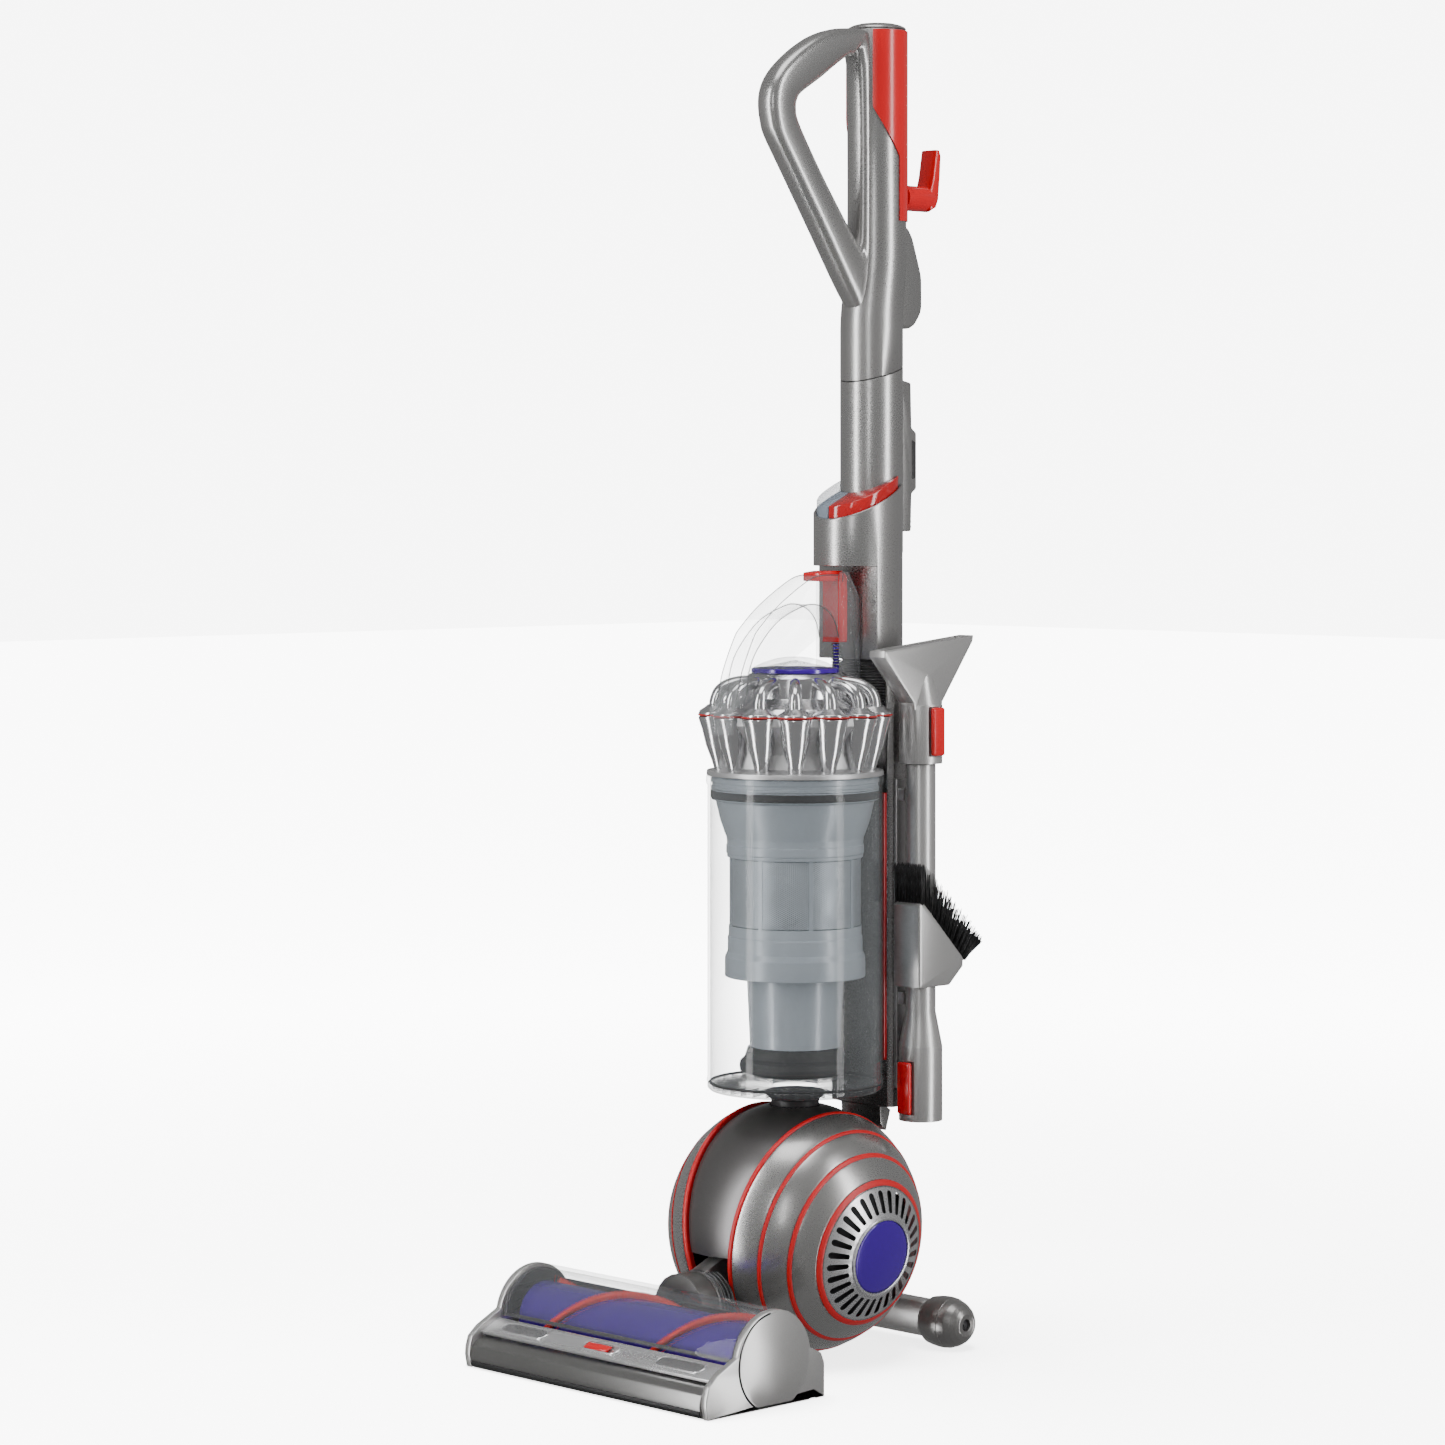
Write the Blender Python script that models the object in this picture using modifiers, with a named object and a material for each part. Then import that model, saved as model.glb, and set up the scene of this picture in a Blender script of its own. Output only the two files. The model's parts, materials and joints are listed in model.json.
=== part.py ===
"""An upright ball vacuum cleaner: head, steering ball, bin, wand and tools, each piece its own solid."""
import math

import bmesh
import bpy
from mathutils import Matrix, Vector

# Overall, in metres: +Z up, the head faces -Y, and the ball's centre is over y = 0 until the whole is centred
TOTAL_HEIGHT = 1.070
HEAD_WIDTH = 0.276
GAP = 0.0005              # between neighbouring pieces that don't move
RUN_GAP = 0.0012          # between pieces that move past each other
SEGMENTS, BIG_SEGMENTS = 20, 28     # sides of small and of large round pieces

# Steering ball
BALL_R = 0.1015
SKIN = 0.003
CAMBER = math.radians(8.4)
TYRE_C, TYRE_W, TYRE_R = 0.0258, 0.0046, 0.0985     # place along the tilted axle, width, outer radius
VENT_C, HUB_C = 0.0841, 0.0971                      # inner and outer edge of the vent cone, along the axle
VENT_R, HUB_R = 0.0565, 0.0307
VENT_SLOTS = 20
AXLE_R = 0.005
BALL_Z = TYRE_C * math.sin(CAMBER) + TYRE_R * math.cos(CAMBER)   # the tyres just touch the floor
COVER_R = 0.0980
DRUM_R, DRUM_HALF = 0.0500, 0.0590
YOKE_HALF, YOKE_RIM = 0.0075, 0.0115

# Floor head
BRUSH_Y, BRUSH_Z = -0.160, 0.034
BRUSH_R, BRISTLE_H = 0.0262, 0.0058
CHAMBER_R, COVER_T = 0.0362, 0.0028
END_T = 0.0072
HEAD_FRONT, HEAD_REAR = -0.231, -0.106
SOLE_T = 0.003
NECK_Z, NECK_R, NECK_BORE = 0.050, 0.0275, 0.0150

# Stand behind the ball
STAND_Y, STAND_X, STAND_WHEEL_R = 0.095, 0.077, 0.0205
STAND_BEAM_R = 0.105                                # nearest point of the beam to the ball's centre

# Bin and cyclones, on the axis over the ball's centre
BIN_R, BIN_WALL = 0.0702, 0.0022
BIN_FOOT, BIN_TOP = 0.2095, 0.4600
BASE_T = 0.006
CONES = 14
CONE_RING, CONE_R, CONE_TIP = 0.0645, 0.0141, 0.0052
CYCLONE_TOP, CYCLONE_FOOT = 0.5095, 0.4640
FILTER_R, FILTER_Z = 0.0352, 0.5430
CARRY_HALF, BAND_HALF = 0.0154, 0.0112
TRIGGER_TRAVEL = 0.005
PEDESTAL_R = 0.0240

# Spine behind the bin, upper housing, wand and handle
SPINE_HALF, SPINE_WALL = 0.0350, 0.003
SPINE_FRONT, SPINE_BACK = 0.0742, 0.1180
SPINE_FOOT, SPINE_TOP = 0.1900, 0.5480
HOUSING_R, HOUSING_Y0, HOUSING_Y1 = 0.0340, 0.0690, 0.0762
HOUSING_FOOT, HOUSING_NOTCH, HOUSING_NOTCH_Y = 0.5520, 0.6275, 0.0605
SHOULDER_FRONT, SHOULDER_REAR = 0.6650, 0.7000
WAND_Y, WAND_R, WAND_WALL = 0.0886, 0.0257, 0.0022
WAND_FOOT, WAND_JOIN = 0.6380, 0.7840
GRIP_Y, GRIP_R = 0.0948, 0.0241
LOOP_HALF = 0.0118
HOSE_R = WAND_R - 0.0005
BUTTON_H, BUTTON_TRAVEL = 0.0105, 0.003

# Tools on the right-hand side
TOOL_X, TOOL_Y = 0.0580, 0.0850
COLLAR_R, NOZZLE_R = 0.0177, 0.01225
STAIR_FOOT, STAIR_LIP = 0.4690, 0.5710
FAN_T = 0.018
COMBI_FOOT, COMBI_TOP = 0.1820, 0.4680

HOOK_REAR = 0.163
CENTRE_SHIFT = -(HEAD_FRONT + HOOK_REAR) / 2        # brings the whole box's middle over the origin

for old in list(bpy.data.objects):
    bpy.data.objects.remove(old, do_unlink=True)

PARTS = bpy.data.collections.new("upright_vacuum")
CUTTERS = bpy.data.collections.new("cutters")
for group in (PARTS, CUTTERS):
    bpy.context.scene.collection.children.link(group)
CUTTERS.hide_render = True


def finish(name, colour, roughness=0.4, metallic=0.0, alpha=1.0):
    """A Principled material for one finish."""
    material = bpy.data.materials.new(name)
    material.use_nodes = True
    shader = material.node_tree.nodes["Principled BSDF"]
    shader.inputs["Base Color"].default_value = (*colour, 1.0)
    shader.inputs["Roughness"].default_value = roughness
    shader.inputs["Metallic"].default_value = metallic
    shader.inputs["Alpha"].default_value = alpha
    return material


NICKEL = finish("nickel_plastic", (0.33, 0.33, 0.34), 0.32, 0.6)
IRON = finish("iron_plastic", (0.16, 0.16, 0.17), 0.35, 0.5)
DARK = finish("dark_plastic", (0.05, 0.05, 0.055), 0.45)
RUBBER = finish("black_rubber", (0.015, 0.015, 0.016), 0.7)
RED = finish("red_plastic", (0.75, 0.01, 0.02), 0.3)
TYRE = finish("red_tyre", (0.58, 0.03, 0.03), 0.5)
PURPLE = finish("purple_plastic", (0.05, 0.01, 0.45), 0.25)
CLEAR = finish("clear_plastic", (0.9, 0.92, 0.93), 0.05, 0.0, 0.25)
BLUE_GREY = finish("blue_grey_plastic", (0.3, 0.35, 0.4), 0.35)
CHROME = finish("chromed_plastic", (0.55, 0.56, 0.58), 0.15, 0.9)
HOSE_GREY = finish("hose_plastic", (0.2, 0.2, 0.21), 0.5)

FRAMES = {}


def frame(body, at=(0.0, 0.0, 0.0)):
    """An empty on the joint axis of a body: its pieces hang from it."""
    empty = bpy.data.objects.new(f"{body}_axis", None)
    PARTS.objects.link(empty)
    FRAMES[body] = (empty, Vector(at))
    if body != "head":
        empty.parent = FRAMES["head"][0]
        empty.location = at
    else:
        empty.location = (0.0, CENTRE_SHIFT, 0.0)


def place(name, data, body, material, at=(0.0, 0.0, 0.0), turn=(0.0, 0.0, 0.0)):
    """Makes the object and hangs it from its body's empty, with its own origin at the point given."""
    piece = bpy.data.objects.new(name, data)
    PARTS.objects.link(piece)
    empty, anchor = FRAMES[body]
    piece.parent = empty
    piece.location = Vector(at) - anchor
    piece.rotation_euler = turn
    data.materials.append(material)
    return piece


def smooth(mesh, angle=40):
    mesh.shade_smooth()
    mesh.set_sharp_from_angle(angle=math.radians(angle))


def mesh_of(name, work):
    """A mesh from a finished bmesh."""
    bmesh.ops.recalc_face_normals(work, faces=work.faces)
    mesh = bpy.data.meshes.new(name)
    work.to_mesh(mesh)
    work.free()
    smooth(mesh)
    return mesh


def box(name, body, material, low, high, bevel=0.0, turn=(0.0, 0.0, 0.0)):
    """A box between two corners, with its edges rounded."""
    low, high = Vector(low), Vector(high)
    work = bmesh.new()
    bmesh.ops.create_cube(work, size=1.0)
    bmesh.ops.scale(work, vec=high - low, verts=work.verts)
    piece = place(name, mesh_of(name, work), body, material, (low + high) / 2, turn)
    if bevel:
        rounding = piece.modifiers.new("rounding", "BEVEL")
        rounding.width = bevel
        rounding.segments = 2
    return piece


def cylinder(name, body, material, radius, length, at, turn=(0.0, 0.0, 0.0), tip=None, sides=SEGMENTS):
    """A cylinder or cone centred on its point; tip is the radius at its local +Z end."""
    work = bmesh.new()
    bmesh.ops.create_cone(work, cap_ends=True, segments=sides, radius1=radius,
                          radius2=radius if tip is None else tip, depth=length)
    return place(name, mesh_of(name, work), body, material, at, turn)


def turned(name, body, material, profile, at=(0.0, 0.0, 0.0), turn=(0.0, 0.0, 0.0), ring=False,
           sides=SEGMENTS):
    """A lathe shape: (radius, height) points down the outer side, and for a ring back up the inner side."""
    points = [(radius, 0.0, height) for radius, height in profile]
    edges = [(i, i + 1) for i in range(len(points) - 1)]
    if ring:
        edges.append((len(points) - 1, 0))
    mesh = bpy.data.meshes.new(name)
    mesh.from_pydata(points, edges, [])
    piece = place(name, mesh, body, material, at, turn)
    screw = piece.modifiers.new("turn", "SCREW")
    screw.steps = screw.render_steps = sides
    screw.use_merge_vertices = True
    screw.merge_threshold = 1e-5
    screw.use_smooth_shade = True
    return piece


# an outline's x, y become Y, Z, and its depth lies along X
ACROSS = (math.pi / 2, 0.0, math.pi / 2)


def outline(name, body, material, loops, depth, at=(0.0, 0.0, 0.0), turn=ACROSS, bevel=0.0):
    """A flat outline, with holes if it has several loops, given a depth and rounded edges."""
    flat = bpy.data.curves.new(name, "CURVE")
    flat.dimensions = "2D"
    flat.fill_mode = "BOTH"
    flat.extrude = depth / 2 - bevel
    flat.bevel_depth = bevel
    flat.bevel_resolution = 1
    flat.offset = -bevel
    for loop in loops:
        spline = flat.splines.new("POLY")
        spline.points.add(len(loop) - 1)
        for point, (x, y) in zip(spline.points, loop):
            point.co = (x, y, 0.0, 1.0)
        spline.use_cyclic_u = True
    curve = bpy.data.objects.new(name, flat)
    bpy.context.scene.collection.objects.link(curve)
    bpy.context.view_layer.update()
    graph = bpy.context.evaluated_depsgraph_get()
    work = bmesh.new()
    work.from_mesh(bpy.data.meshes.new_from_object(curve.evaluated_get(graph)))
    bmesh.ops.remove_doubles(work, verts=work.verts, dist=1e-6)
    bpy.data.objects.remove(curve)
    return place(name, mesh_of(name, work), body, material, at, turn)


def loft(name, body, material, sections, at=(0.0, 0.0, 0.0)):
    """A solid through closed sections that hold equal numbers of points, with flat ends."""
    work = bmesh.new()
    rings = [[work.verts.new(point) for point in section] for section in sections]
    count = len(rings[0])
    for near, far in zip(rings, rings[1:]):
        for i in range(count):
            work.faces.new((near[i], near[(i + 1) % count], far[(i + 1) % count], far[i]))
    work.faces.new(rings[0])
    work.faces.new(rings[-1])
    return place(name, mesh_of(name, work), body, material, at)


def circle(radius, centre=(0.0, 0.0), start=0.0, end=360.0, steps=SEGMENTS):
    """Points on an arc, in degrees; a full circle leaves out its repeated last point."""
    last = steps if end - start < 360 else steps - 1
    return [(centre[0] + radius * math.cos(math.radians(start + (end - start) * i / steps)),
             centre[1] + radius * math.sin(math.radians(start + (end - start) * i / steps)))
            for i in range(last + 1)]


def combine(piece, others, operation):
    for other in others:
        PARTS.objects.unlink(other)
        CUTTERS.objects.link(other)
        other.hide_render = True
        other.display_type = "WIRE"
        change = piece.modifiers.new(operation.lower(), "BOOLEAN")
        change.operation = operation
        change.object = other


def fuse(piece, *others):
    """Joins helpers to a piece as one body."""
    combine(piece, others, "UNION")


def cut(piece, *others):
    """Takes helpers away from a piece."""
    combine(piece, others, "DIFFERENCE")


def keep(piece, *others):
    """Keeps only what lies inside the helpers."""
    combine(piece, others, "INTERSECT")


# Frames of the moving bodies, each on its joint's axis
CENTRE = (0.0, 0.0, BALL_Z)
frame("head")
frame("brush_bar", (0.0, BRUSH_Y, BRUSH_Z))
frame("suction_control", (0.0, BRUSH_Y, BRUSH_Z))
frame("yoke", (0.0, BRUSH_Y, NECK_Z))
frame("stand", CENTRE)
for side in ("left", "right"):
    frame(f"shell_{side}", CENTRE)
    frame(f"stand_wheel_{side}", (STAND_X * (1 if side == "right" else -1), STAND_Y, STAND_WHEEL_R))
frame("upright", CENTRE)

# Floor head: chassis with the rear wall of the brush chamber, and the neck collar behind it
INNER_HALF = HEAD_WIDTH / 2 - END_T - GAP           # between the end caps
CHAMBER_OUT = CHAMBER_R + COVER_T
wall = circle(CHAMBER_OUT, (BRUSH_Y, BRUSH_Z), 36, -8, 8)
wall += [(HEAD_REAR - 0.0065, 0.0240), (HEAD_REAR - 0.0040, 0.0205), (HEAD_REAR, 0.0180),
         (HEAD_REAR, SOLE_T + GAP)]
wall += [(BRUSH_Y + 0.026, SOLE_T + GAP)]
wall += circle(CHAMBER_R, (BRUSH_Y, BRUSH_Z), -48, 36, 12)
chassis = outline("head_chassis", "head", NICKEL, [wall], 2 * INNER_HALF)
COLLAR_FACE = HEAD_REAR - 0.0045
COLLAR_L = 0.0180
collar = cylinder("neck_collar", "head", NICKEL, NECK_R, COLLAR_L, (0.0, COLLAR_FACE - COLLAR_L / 2, NECK_Z),
                  (math.pi / 2, 0.0, 0.0))
chamber = cylinder("chamber", "head", NICKEL, CHAMBER_R, 2 * INNER_HALF + 0.01, (0.0, BRUSH_Y, BRUSH_Z),
                   (0.0, math.pi / 2, 0.0))
duct = cylinder("duct", "head", NICKEL, NECK_BORE, 0.060, (0.0, HEAD_REAR - 0.014, NECK_Z),
                (math.pi / 2, 0.0, 0.0))
floor_trim = box("floor_trim", "head", NICKEL, (-0.05, -0.15, 0.0), (0.05, -0.09, SOLE_T + GAP))
fuse(chassis, collar)
cut(chassis, chamber, duct, floor_trim)

# Sole plate with the brush opening, and the rounded bumper with the front nose
SOLE_HALF = INNER_HALF - 0.001
BAR_HALF = INNER_HALF - 0.0058                      # the brush tube stops short of the end caps
MOUTH_HALF, MOUTH_FRONT, MOUTH_REAR = BAR_HALF - 0.0025, BRUSH_Y - 0.024, BRUSH_Y + 0.024
plate = [(-SOLE_HALF, -0.2085), (SOLE_HALF, -0.2085), (SOLE_HALF, HEAD_REAR), (-SOLE_HALF, HEAD_REAR)]
mouth = [(-MOUTH_HALF, MOUTH_FRONT), (MOUTH_HALF, MOUTH_FRONT), (MOUTH_HALF, MOUTH_REAR),
         (-MOUTH_HALF, MOUTH_REAR)]
outline("sole_plate", "head", DARK, [plate, mouth], SOLE_T, (0.0, 0.0, SOLE_T / 2), (0.0, 0.0, 0.0))
nose = [(HEAD_FRONT + 0.0006, 0.004), (HEAD_FRONT, 0.010), (HEAD_FRONT + 0.002, 0.018), (-0.2230, 0.0215),
        (-0.2095, 0.0255), (-0.2095, 0.0), (HEAD_FRONT + 0.003, 0.0)]
outline("front_bumper", "head", NICKEL, [nose], 2 * INNER_HALF)

# Clear cover over the brush, and the silver strip in front of it that carries the suction slider
shell_out = circle(CHAMBER_OUT, (BRUSH_Y, BRUSH_Z), 37.5, 176, 20)
shell_in = circle(CHAMBER_R, (BRUSH_Y, BRUSH_Z), 176, 37.5, 20)
outline("head_cover", "head", CLEAR, [shell_out + shell_in], 2 * INNER_HALF)
STRIP_TILT = math.radians(24)
STRIP_Y, STRIP_Z, STRIP_W, STRIP_T = -0.2098, 0.0303, 0.0205, 0.003
strip = box("front_strip", "head", NICKEL, (-INNER_HALF, STRIP_Y - STRIP_W / 2, STRIP_Z - STRIP_T / 2),
            (INNER_HALF, STRIP_Y + STRIP_W / 2, STRIP_Z + STRIP_T / 2), turn=(STRIP_TILT, 0.0, 0.0))
SLIDER_TRAVEL, SLIDER_HALF, SLIDER_W = 0.008, 0.013, 0.0070


def strip_box(name, low_x, high_x, width, low_t, high_t, body="head", material=DARK, bevel=0.0):
    """A box that follows the strip's slope, between two heights over the strip's middle."""
    middle = (low_t + high_t) / 2
    centre_y = STRIP_Y - middle * math.sin(STRIP_TILT)
    centre_z = STRIP_Z + middle * math.cos(STRIP_TILT)
    half_t = (high_t - low_t) / 2
    return box(name, body, material, (low_x, centre_y - width / 2, centre_z - half_t),
               (high_x, centre_y + width / 2, centre_z + half_t), bevel, (STRIP_TILT, 0.0, 0.0))


slot_half = SLIDER_HALF + SLIDER_TRAVEL / 2 + GAP
cut(strip, strip_box("slider_slot", -slot_half, slot_half, SLIDER_W + 2 * GAP, 0.0, 0.01))
strip_box("suction_slider", -SLIDER_HALF - SLIDER_TRAVEL / 2, SLIDER_HALF - SLIDER_TRAVEL / 2, SLIDER_W,
          GAP, 0.0024, "suction_control", RED, 0.0006)

# End caps: round over the brush, stepping down to the strip and the bumper in front, flat on the floor
cap = circle(CHAMBER_OUT, (BRUSH_Y, BRUSH_Z), 8, 168, 20)
cap += [(-0.2195, 0.0315), (HEAD_FRONT + 0.003, 0.0245), (HEAD_FRONT + 0.0005, 0.0165), (HEAD_FRONT, 0.010), (HEAD_FRONT + 0.002, 0.0)]
cap += [(HEAD_REAR, 0.0), (HEAD_REAR, 0.026), (-0.1095, 0.034)]
for side, sign in (("left", -1), ("right", 1)):
    outline(f"head_end_{side}", "head", NICKEL, [cap], END_T, (sign * (HEAD_WIDTH - END_T) / 2, 0.0, 0.0),
            bevel=0.0012)

# Brush bar: hollow tube on a pin at the right, driven from a motor that reaches in from the left
ALONG = (0.0, math.pi / 2, 0.0)                     # a lathe shape's axis laid along +X
BORE_R, BORE_END = BRUSH_R - 0.0047, 0.040
BRUSH_MOTOR_R = BORE_R - 0.0030
turned("brush_tube", "brush_bar", PURPLE,
       [(0.0, INNER_HALF - GAP), (0.004, INNER_HALF - GAP), (0.004, BAR_HALF), (BRUSH_R, BAR_HALF),
        (BRUSH_R, -BAR_HALF), (BORE_R, -BAR_HALF), (BORE_R, BORE_END), (0.0, BORE_END)],
       (0.0, BRUSH_Y, BRUSH_Z), ALONG)
turned("brush_motor", "head", DARK,
       [(0.0, 0.010), (0.012, 0.010), (BRUSH_MOTOR_R, 0.004), (BRUSH_MOTOR_R, 0.0125 - BAR_HALF),
        (0.012, 0.0085 - BAR_HALF),
        (0.012, -INNER_HALF + GAP), (0.0, -INNER_HALF + GAP)], (0.0, BRUSH_Y, BRUSH_Z), ALONG)


def bristle_strip(name, start_deg, half_deg=4.5, steps=36):
    """A band of bristles that winds once round the brush tube from its left end to its right."""
    sections = []
    for i in range(steps + 1):
        x = -BAR_HALF + 0.004 + (2 * BAR_HALF - 0.008) * i / steps
        lead = start_deg - 370 * (x + BAR_HALF) / (2 * BAR_HALF)
        corners = ((BRUSH_R + 0.0007, -half_deg), (BRUSH_R + BRISTLE_H, -half_deg * 0.8),
                   (BRUSH_R + BRISTLE_H, half_deg * 0.8), (BRUSH_R + 0.0007, half_deg))
        sections.append([(x, r * math.cos(math.radians(lead + a)), r * math.sin(math.radians(lead + a)))
                         for r, a in corners])
    return loft(name, "brush_bar", RED, sections, (0.0, BRUSH_Y, BRUSH_Z))


bristle_strip("bristle_strip_1", 61)
bristle_strip("bristle_strip_2", 241)

# Yoke: a ring round the motor drum, an arm out of the front of the ball, and the neck in the collar

drum_clear = DRUM_R + RUN_GAP


def ring_with_arm(arm_deg, spread_deg, reach, start_deg, end_deg):
    """Open ring round the drum with a tapering arm, as an outline in the ball's Y, Z plane."""
    rim = drum_clear + YOKE_RIM
    tip = circle(reach, (0, 0), arm_deg - spread_deg * 0.62, arm_deg + spread_deg * 0.62, 3)
    return [circle(rim, (0, 0), start_deg, arm_deg - spread_deg, 12) + tip
            + circle(rim, (0, 0), arm_deg + spread_deg, end_deg, 12)
            + circle(drum_clear, (0, 0), end_deg, start_deg, 24)]


ARM_DEG = 180 + math.degrees(math.atan2(BALL_Z - NECK_Z, -HEAD_REAR))
yoke = outline("yoke_frame", "yoke", IRON, ring_with_arm(ARM_DEG, 21, 0.1125, 116, 374), 2 * YOKE_HALF,
               CENTRE)
NECK_END = -0.1016
neck = cylinder("neck", "yoke", IRON, NECK_R, NECK_END - COLLAR_FACE - RUN_GAP / 2,
                (0.0, (NECK_END + COLLAR_FACE + RUN_GAP / 2) / 2, NECK_Z), (math.pi / 2, 0.0, 0.0))
front_trim = box("front_trim", "yoke", IRON, (-0.05, -0.2, 0.0), (0.05, COLLAR_FACE + RUN_GAP / 2, 0.12))
fuse(yoke, neck)
cut(yoke, front_trim)

# Stand: two plates beside the yoke, an arm out of the back of the ball, and a beam with a wheel at each end
STAND_GAP = 0.0010
STAND_T = 0.0030
plate_x = YOKE_HALF + STAND_GAP + STAND_T / 2
stand_deg = 360 + math.degrees(math.atan2(STAND_WHEEL_R - BALL_Z, STAND_Y))
stand = outline("stand_frame", "stand", IRON, ring_with_arm(stand_deg, 15, 0.118, 116, 364), STAND_T,
                (plate_x,) + CENTRE[1:])
other_plate = outline("stand_plate", "stand", IRON, ring_with_arm(stand_deg, 15, 0.118, 116, 364), STAND_T,
                      (-plate_x,) + CENTRE[1:])
beam = [(0.0865, 0.0350), (0.0950, 0.0370), (0.1035, 0.0340), (0.1060, 0.0220), (0.1035, 0.0080),
        (0.0950, 0.0055),
        (0.0905, 0.0065), (0.0870, 0.0150)]
BEAM_HALF = 0.0590
cross = outline("stand_beam", "stand", IRON, [beam], 2 * BEAM_HALF, bevel=0.002)
ball_room = turned("ball_room", "stand", IRON,
                   [(STAND_BEAM_R * math.sin(i * math.pi / 16), STAND_BEAM_R * math.cos(i * math.pi / 16))
                    for i in range(17)], CENTRE)
cut(cross, ball_room)
axle = cylinder("stand_axle", "stand", IRON, 0.004, 2 * (STAND_X + 0.018), (0.0, STAND_Y, STAND_WHEEL_R),
                (0.0, math.pi / 2, 0.0), sides=16)
fuse(stand, other_plate, cross, axle)
WHEEL_IN = STAND_X - BEAM_HALF - RUN_GAP            # from the tread to the beam's end
for side, sign in (("left", -1), ("right", 1)):
    turned(f"stand_wheel_{side}", f"stand_wheel_{side}", IRON,
           [(0.0042 + GAP, 0.0225), (0.0090, 0.0225), (0.0140, 0.0190), (0.0185, 0.0110),
            (STAND_WHEEL_R, 0.0020),
            (STAND_WHEEL_R, -0.0020), (0.0195, -0.0110), (0.0165, -WHEEL_IN), (0.0042 + GAP, -WHEEL_IN)],
           (sign * STAND_X, STAND_Y, STAND_WHEEL_R), (0.0, sign * math.pi / 2, 0.0), ring=True)


def on_sphere(radius, along):
    return math.sqrt(radius ** 2 - along ** 2)


# Ball shells: each turns on an axle that dips by the camber towards its outer end
SHELL_C = TYRE_C + TYRE_W / 2 + GAP
inner_r = BALL_R - SKIN
for side, sign in (("left", -1), ("right", 1)):
    body = f"shell_{side}"
    tilt = (0.0, sign * (math.pi / 2 + CAMBER), 0.0)
    spots = [VENT_C - (VENT_C - SHELL_C) * i / 6 for i in range(7)]
    skin = [(on_sphere(BALL_R, c), c) for c in spots]
    skin += [(on_sphere(inner_r, c), c) for c in spots[::-1] if c < VENT_C - SKIN]
    skin += [(VENT_R - SKIN, VENT_C - 0.0005)]
    turned(f"ball_shell_{side}", body, NICKEL, skin, CENTRE, tilt, ring=True, sides=BIG_SEGMENTS)
    low, high = TYRE_C - TYRE_W / 2, TYRE_C + TYRE_W / 2
    turned(f"ball_tyre_{side}", body, TYRE,
           [(TYRE_R - 0.0012, high), (TYRE_R, TYRE_C), (TYRE_R - 0.0012, low), (TYRE_R - 0.0055, low),
            (TYRE_R - 0.0055, high)], CENTRE, tilt, ring=True, sides=BIG_SEGMENTS)
    grille = turned(f"vent_grille_{side}", body, NICKEL,
                    [(AXLE_R + RUN_GAP / 2, HUB_C - 0.0035), (HUB_R, HUB_C - 0.0035),
                     (HUB_R + 0.0015, HUB_C - 0.0015),
                     (VENT_R - SKIN - 0.0012, VENT_C + 0.0012), (VENT_R - SKIN - 0.0012, VENT_C - 0.0012),
                     (HUB_R, HUB_C - 0.0065), (0.0085, HUB_C - 0.0065), (0.0085, 0.0700),
                     (AXLE_R + RUN_GAP / 2, 0.0700)], CENTRE, tilt, ring=True, sides=BIG_SEGMENTS)
    slots = bmesh.new()
    for i in range(VENT_SLOTS):
        spin = Matrix.Rotation(2 * math.pi * i / VENT_SLOTS, 4, "Z")
        made = bmesh.ops.create_cube(slots, size=1.0)["verts"]
        bmesh.ops.scale(slots, vec=(0.0140, 0.0042, 0.0300), verts=made)
        bmesh.ops.translate(slots, vec=((HUB_R + VENT_R) / 2 - 0.0008, 0.0, (VENT_C + HUB_C) / 2), verts=made)
        bmesh.ops.transform(slots, matrix=spin, verts=made)
    cut(grille, place(f"slots_{side}", mesh_of("slots", slots), body, DARK, CENTRE, tilt))
    turned(f"hub_cap_{side}", body, PURPLE,
           [(0.0, HUB_C + 0.0025), (0.0150, HUB_C + 0.0021), (HUB_R - 0.004, HUB_C + 0.0006),
            (HUB_R - 0.001, HUB_C - 0.0010), (HUB_R - 0.001, HUB_C - 0.0035 + GAP),
            (0.0, HUB_C - 0.0035 + GAP)],
           CENTRE, tilt)


# Motor drum in the middle of the ball, with an axle stub at each end and the air inlet on top
drum = turned("motor_drum", "upright", IRON,
              [(0.0, DRUM_HALF), (DRUM_R, DRUM_HALF), (DRUM_R, -DRUM_HALF), (0.0, -DRUM_HALF)], CENTRE, ALONG)
hollow = turned("drum_hollow", "upright", IRON,
                [(0.0, DRUM_HALF - SKIN), (DRUM_R - SKIN, DRUM_HALF - SKIN),
                 (DRUM_R - SKIN, SKIN - DRUM_HALF),
                 (0.0, SKIN - DRUM_HALF)], CENTRE, ALONG)
INLET_R = 0.0155
inlet = cylinder("inlet", "upright", IRON, INLET_R, 0.02, (0.0, 0.0, BALL_Z + DRUM_R))
for sign in (-1, 1):
    tilt = Matrix.Rotation(sign * (math.pi / 2 + CAMBER), 3, "Y")
    start, end = DRUM_HALF - 0.0015, HUB_C - 0.0085
    middle = tilt @ Vector((0.0, 0.0, (start + end) / 2))
    fuse(drum, cylinder("axle_stub", "upright", IRON, AXLE_R, end - start, middle + Vector(CENTRE),
                        (0.0, sign * (math.pi / 2 + CAMBER), 0.0), sides=20))
cut(drum, hollow, inlet)
MOTOR_R = DRUM_R - SKIN - 0.004
turned("motor", "upright", DARK,
       [(0.0, 0.022), (0.012, 0.022), (0.018, 0.016), (MOTOR_R, 0.012), (MOTOR_R, -0.030), (0.020, -0.042),
        (0.0, -0.042)], CENTRE, ALONG)
turned("exhaust_filter", "upright", PURPLE,
       [(DRUM_R - SKIN - RUN_GAP, 0.053), (DRUM_R - SKIN - RUN_GAP, 0.026), (0.026, 0.026), (0.026, 0.053)],
       CENTRE, ALONG, ring=True)

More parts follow.
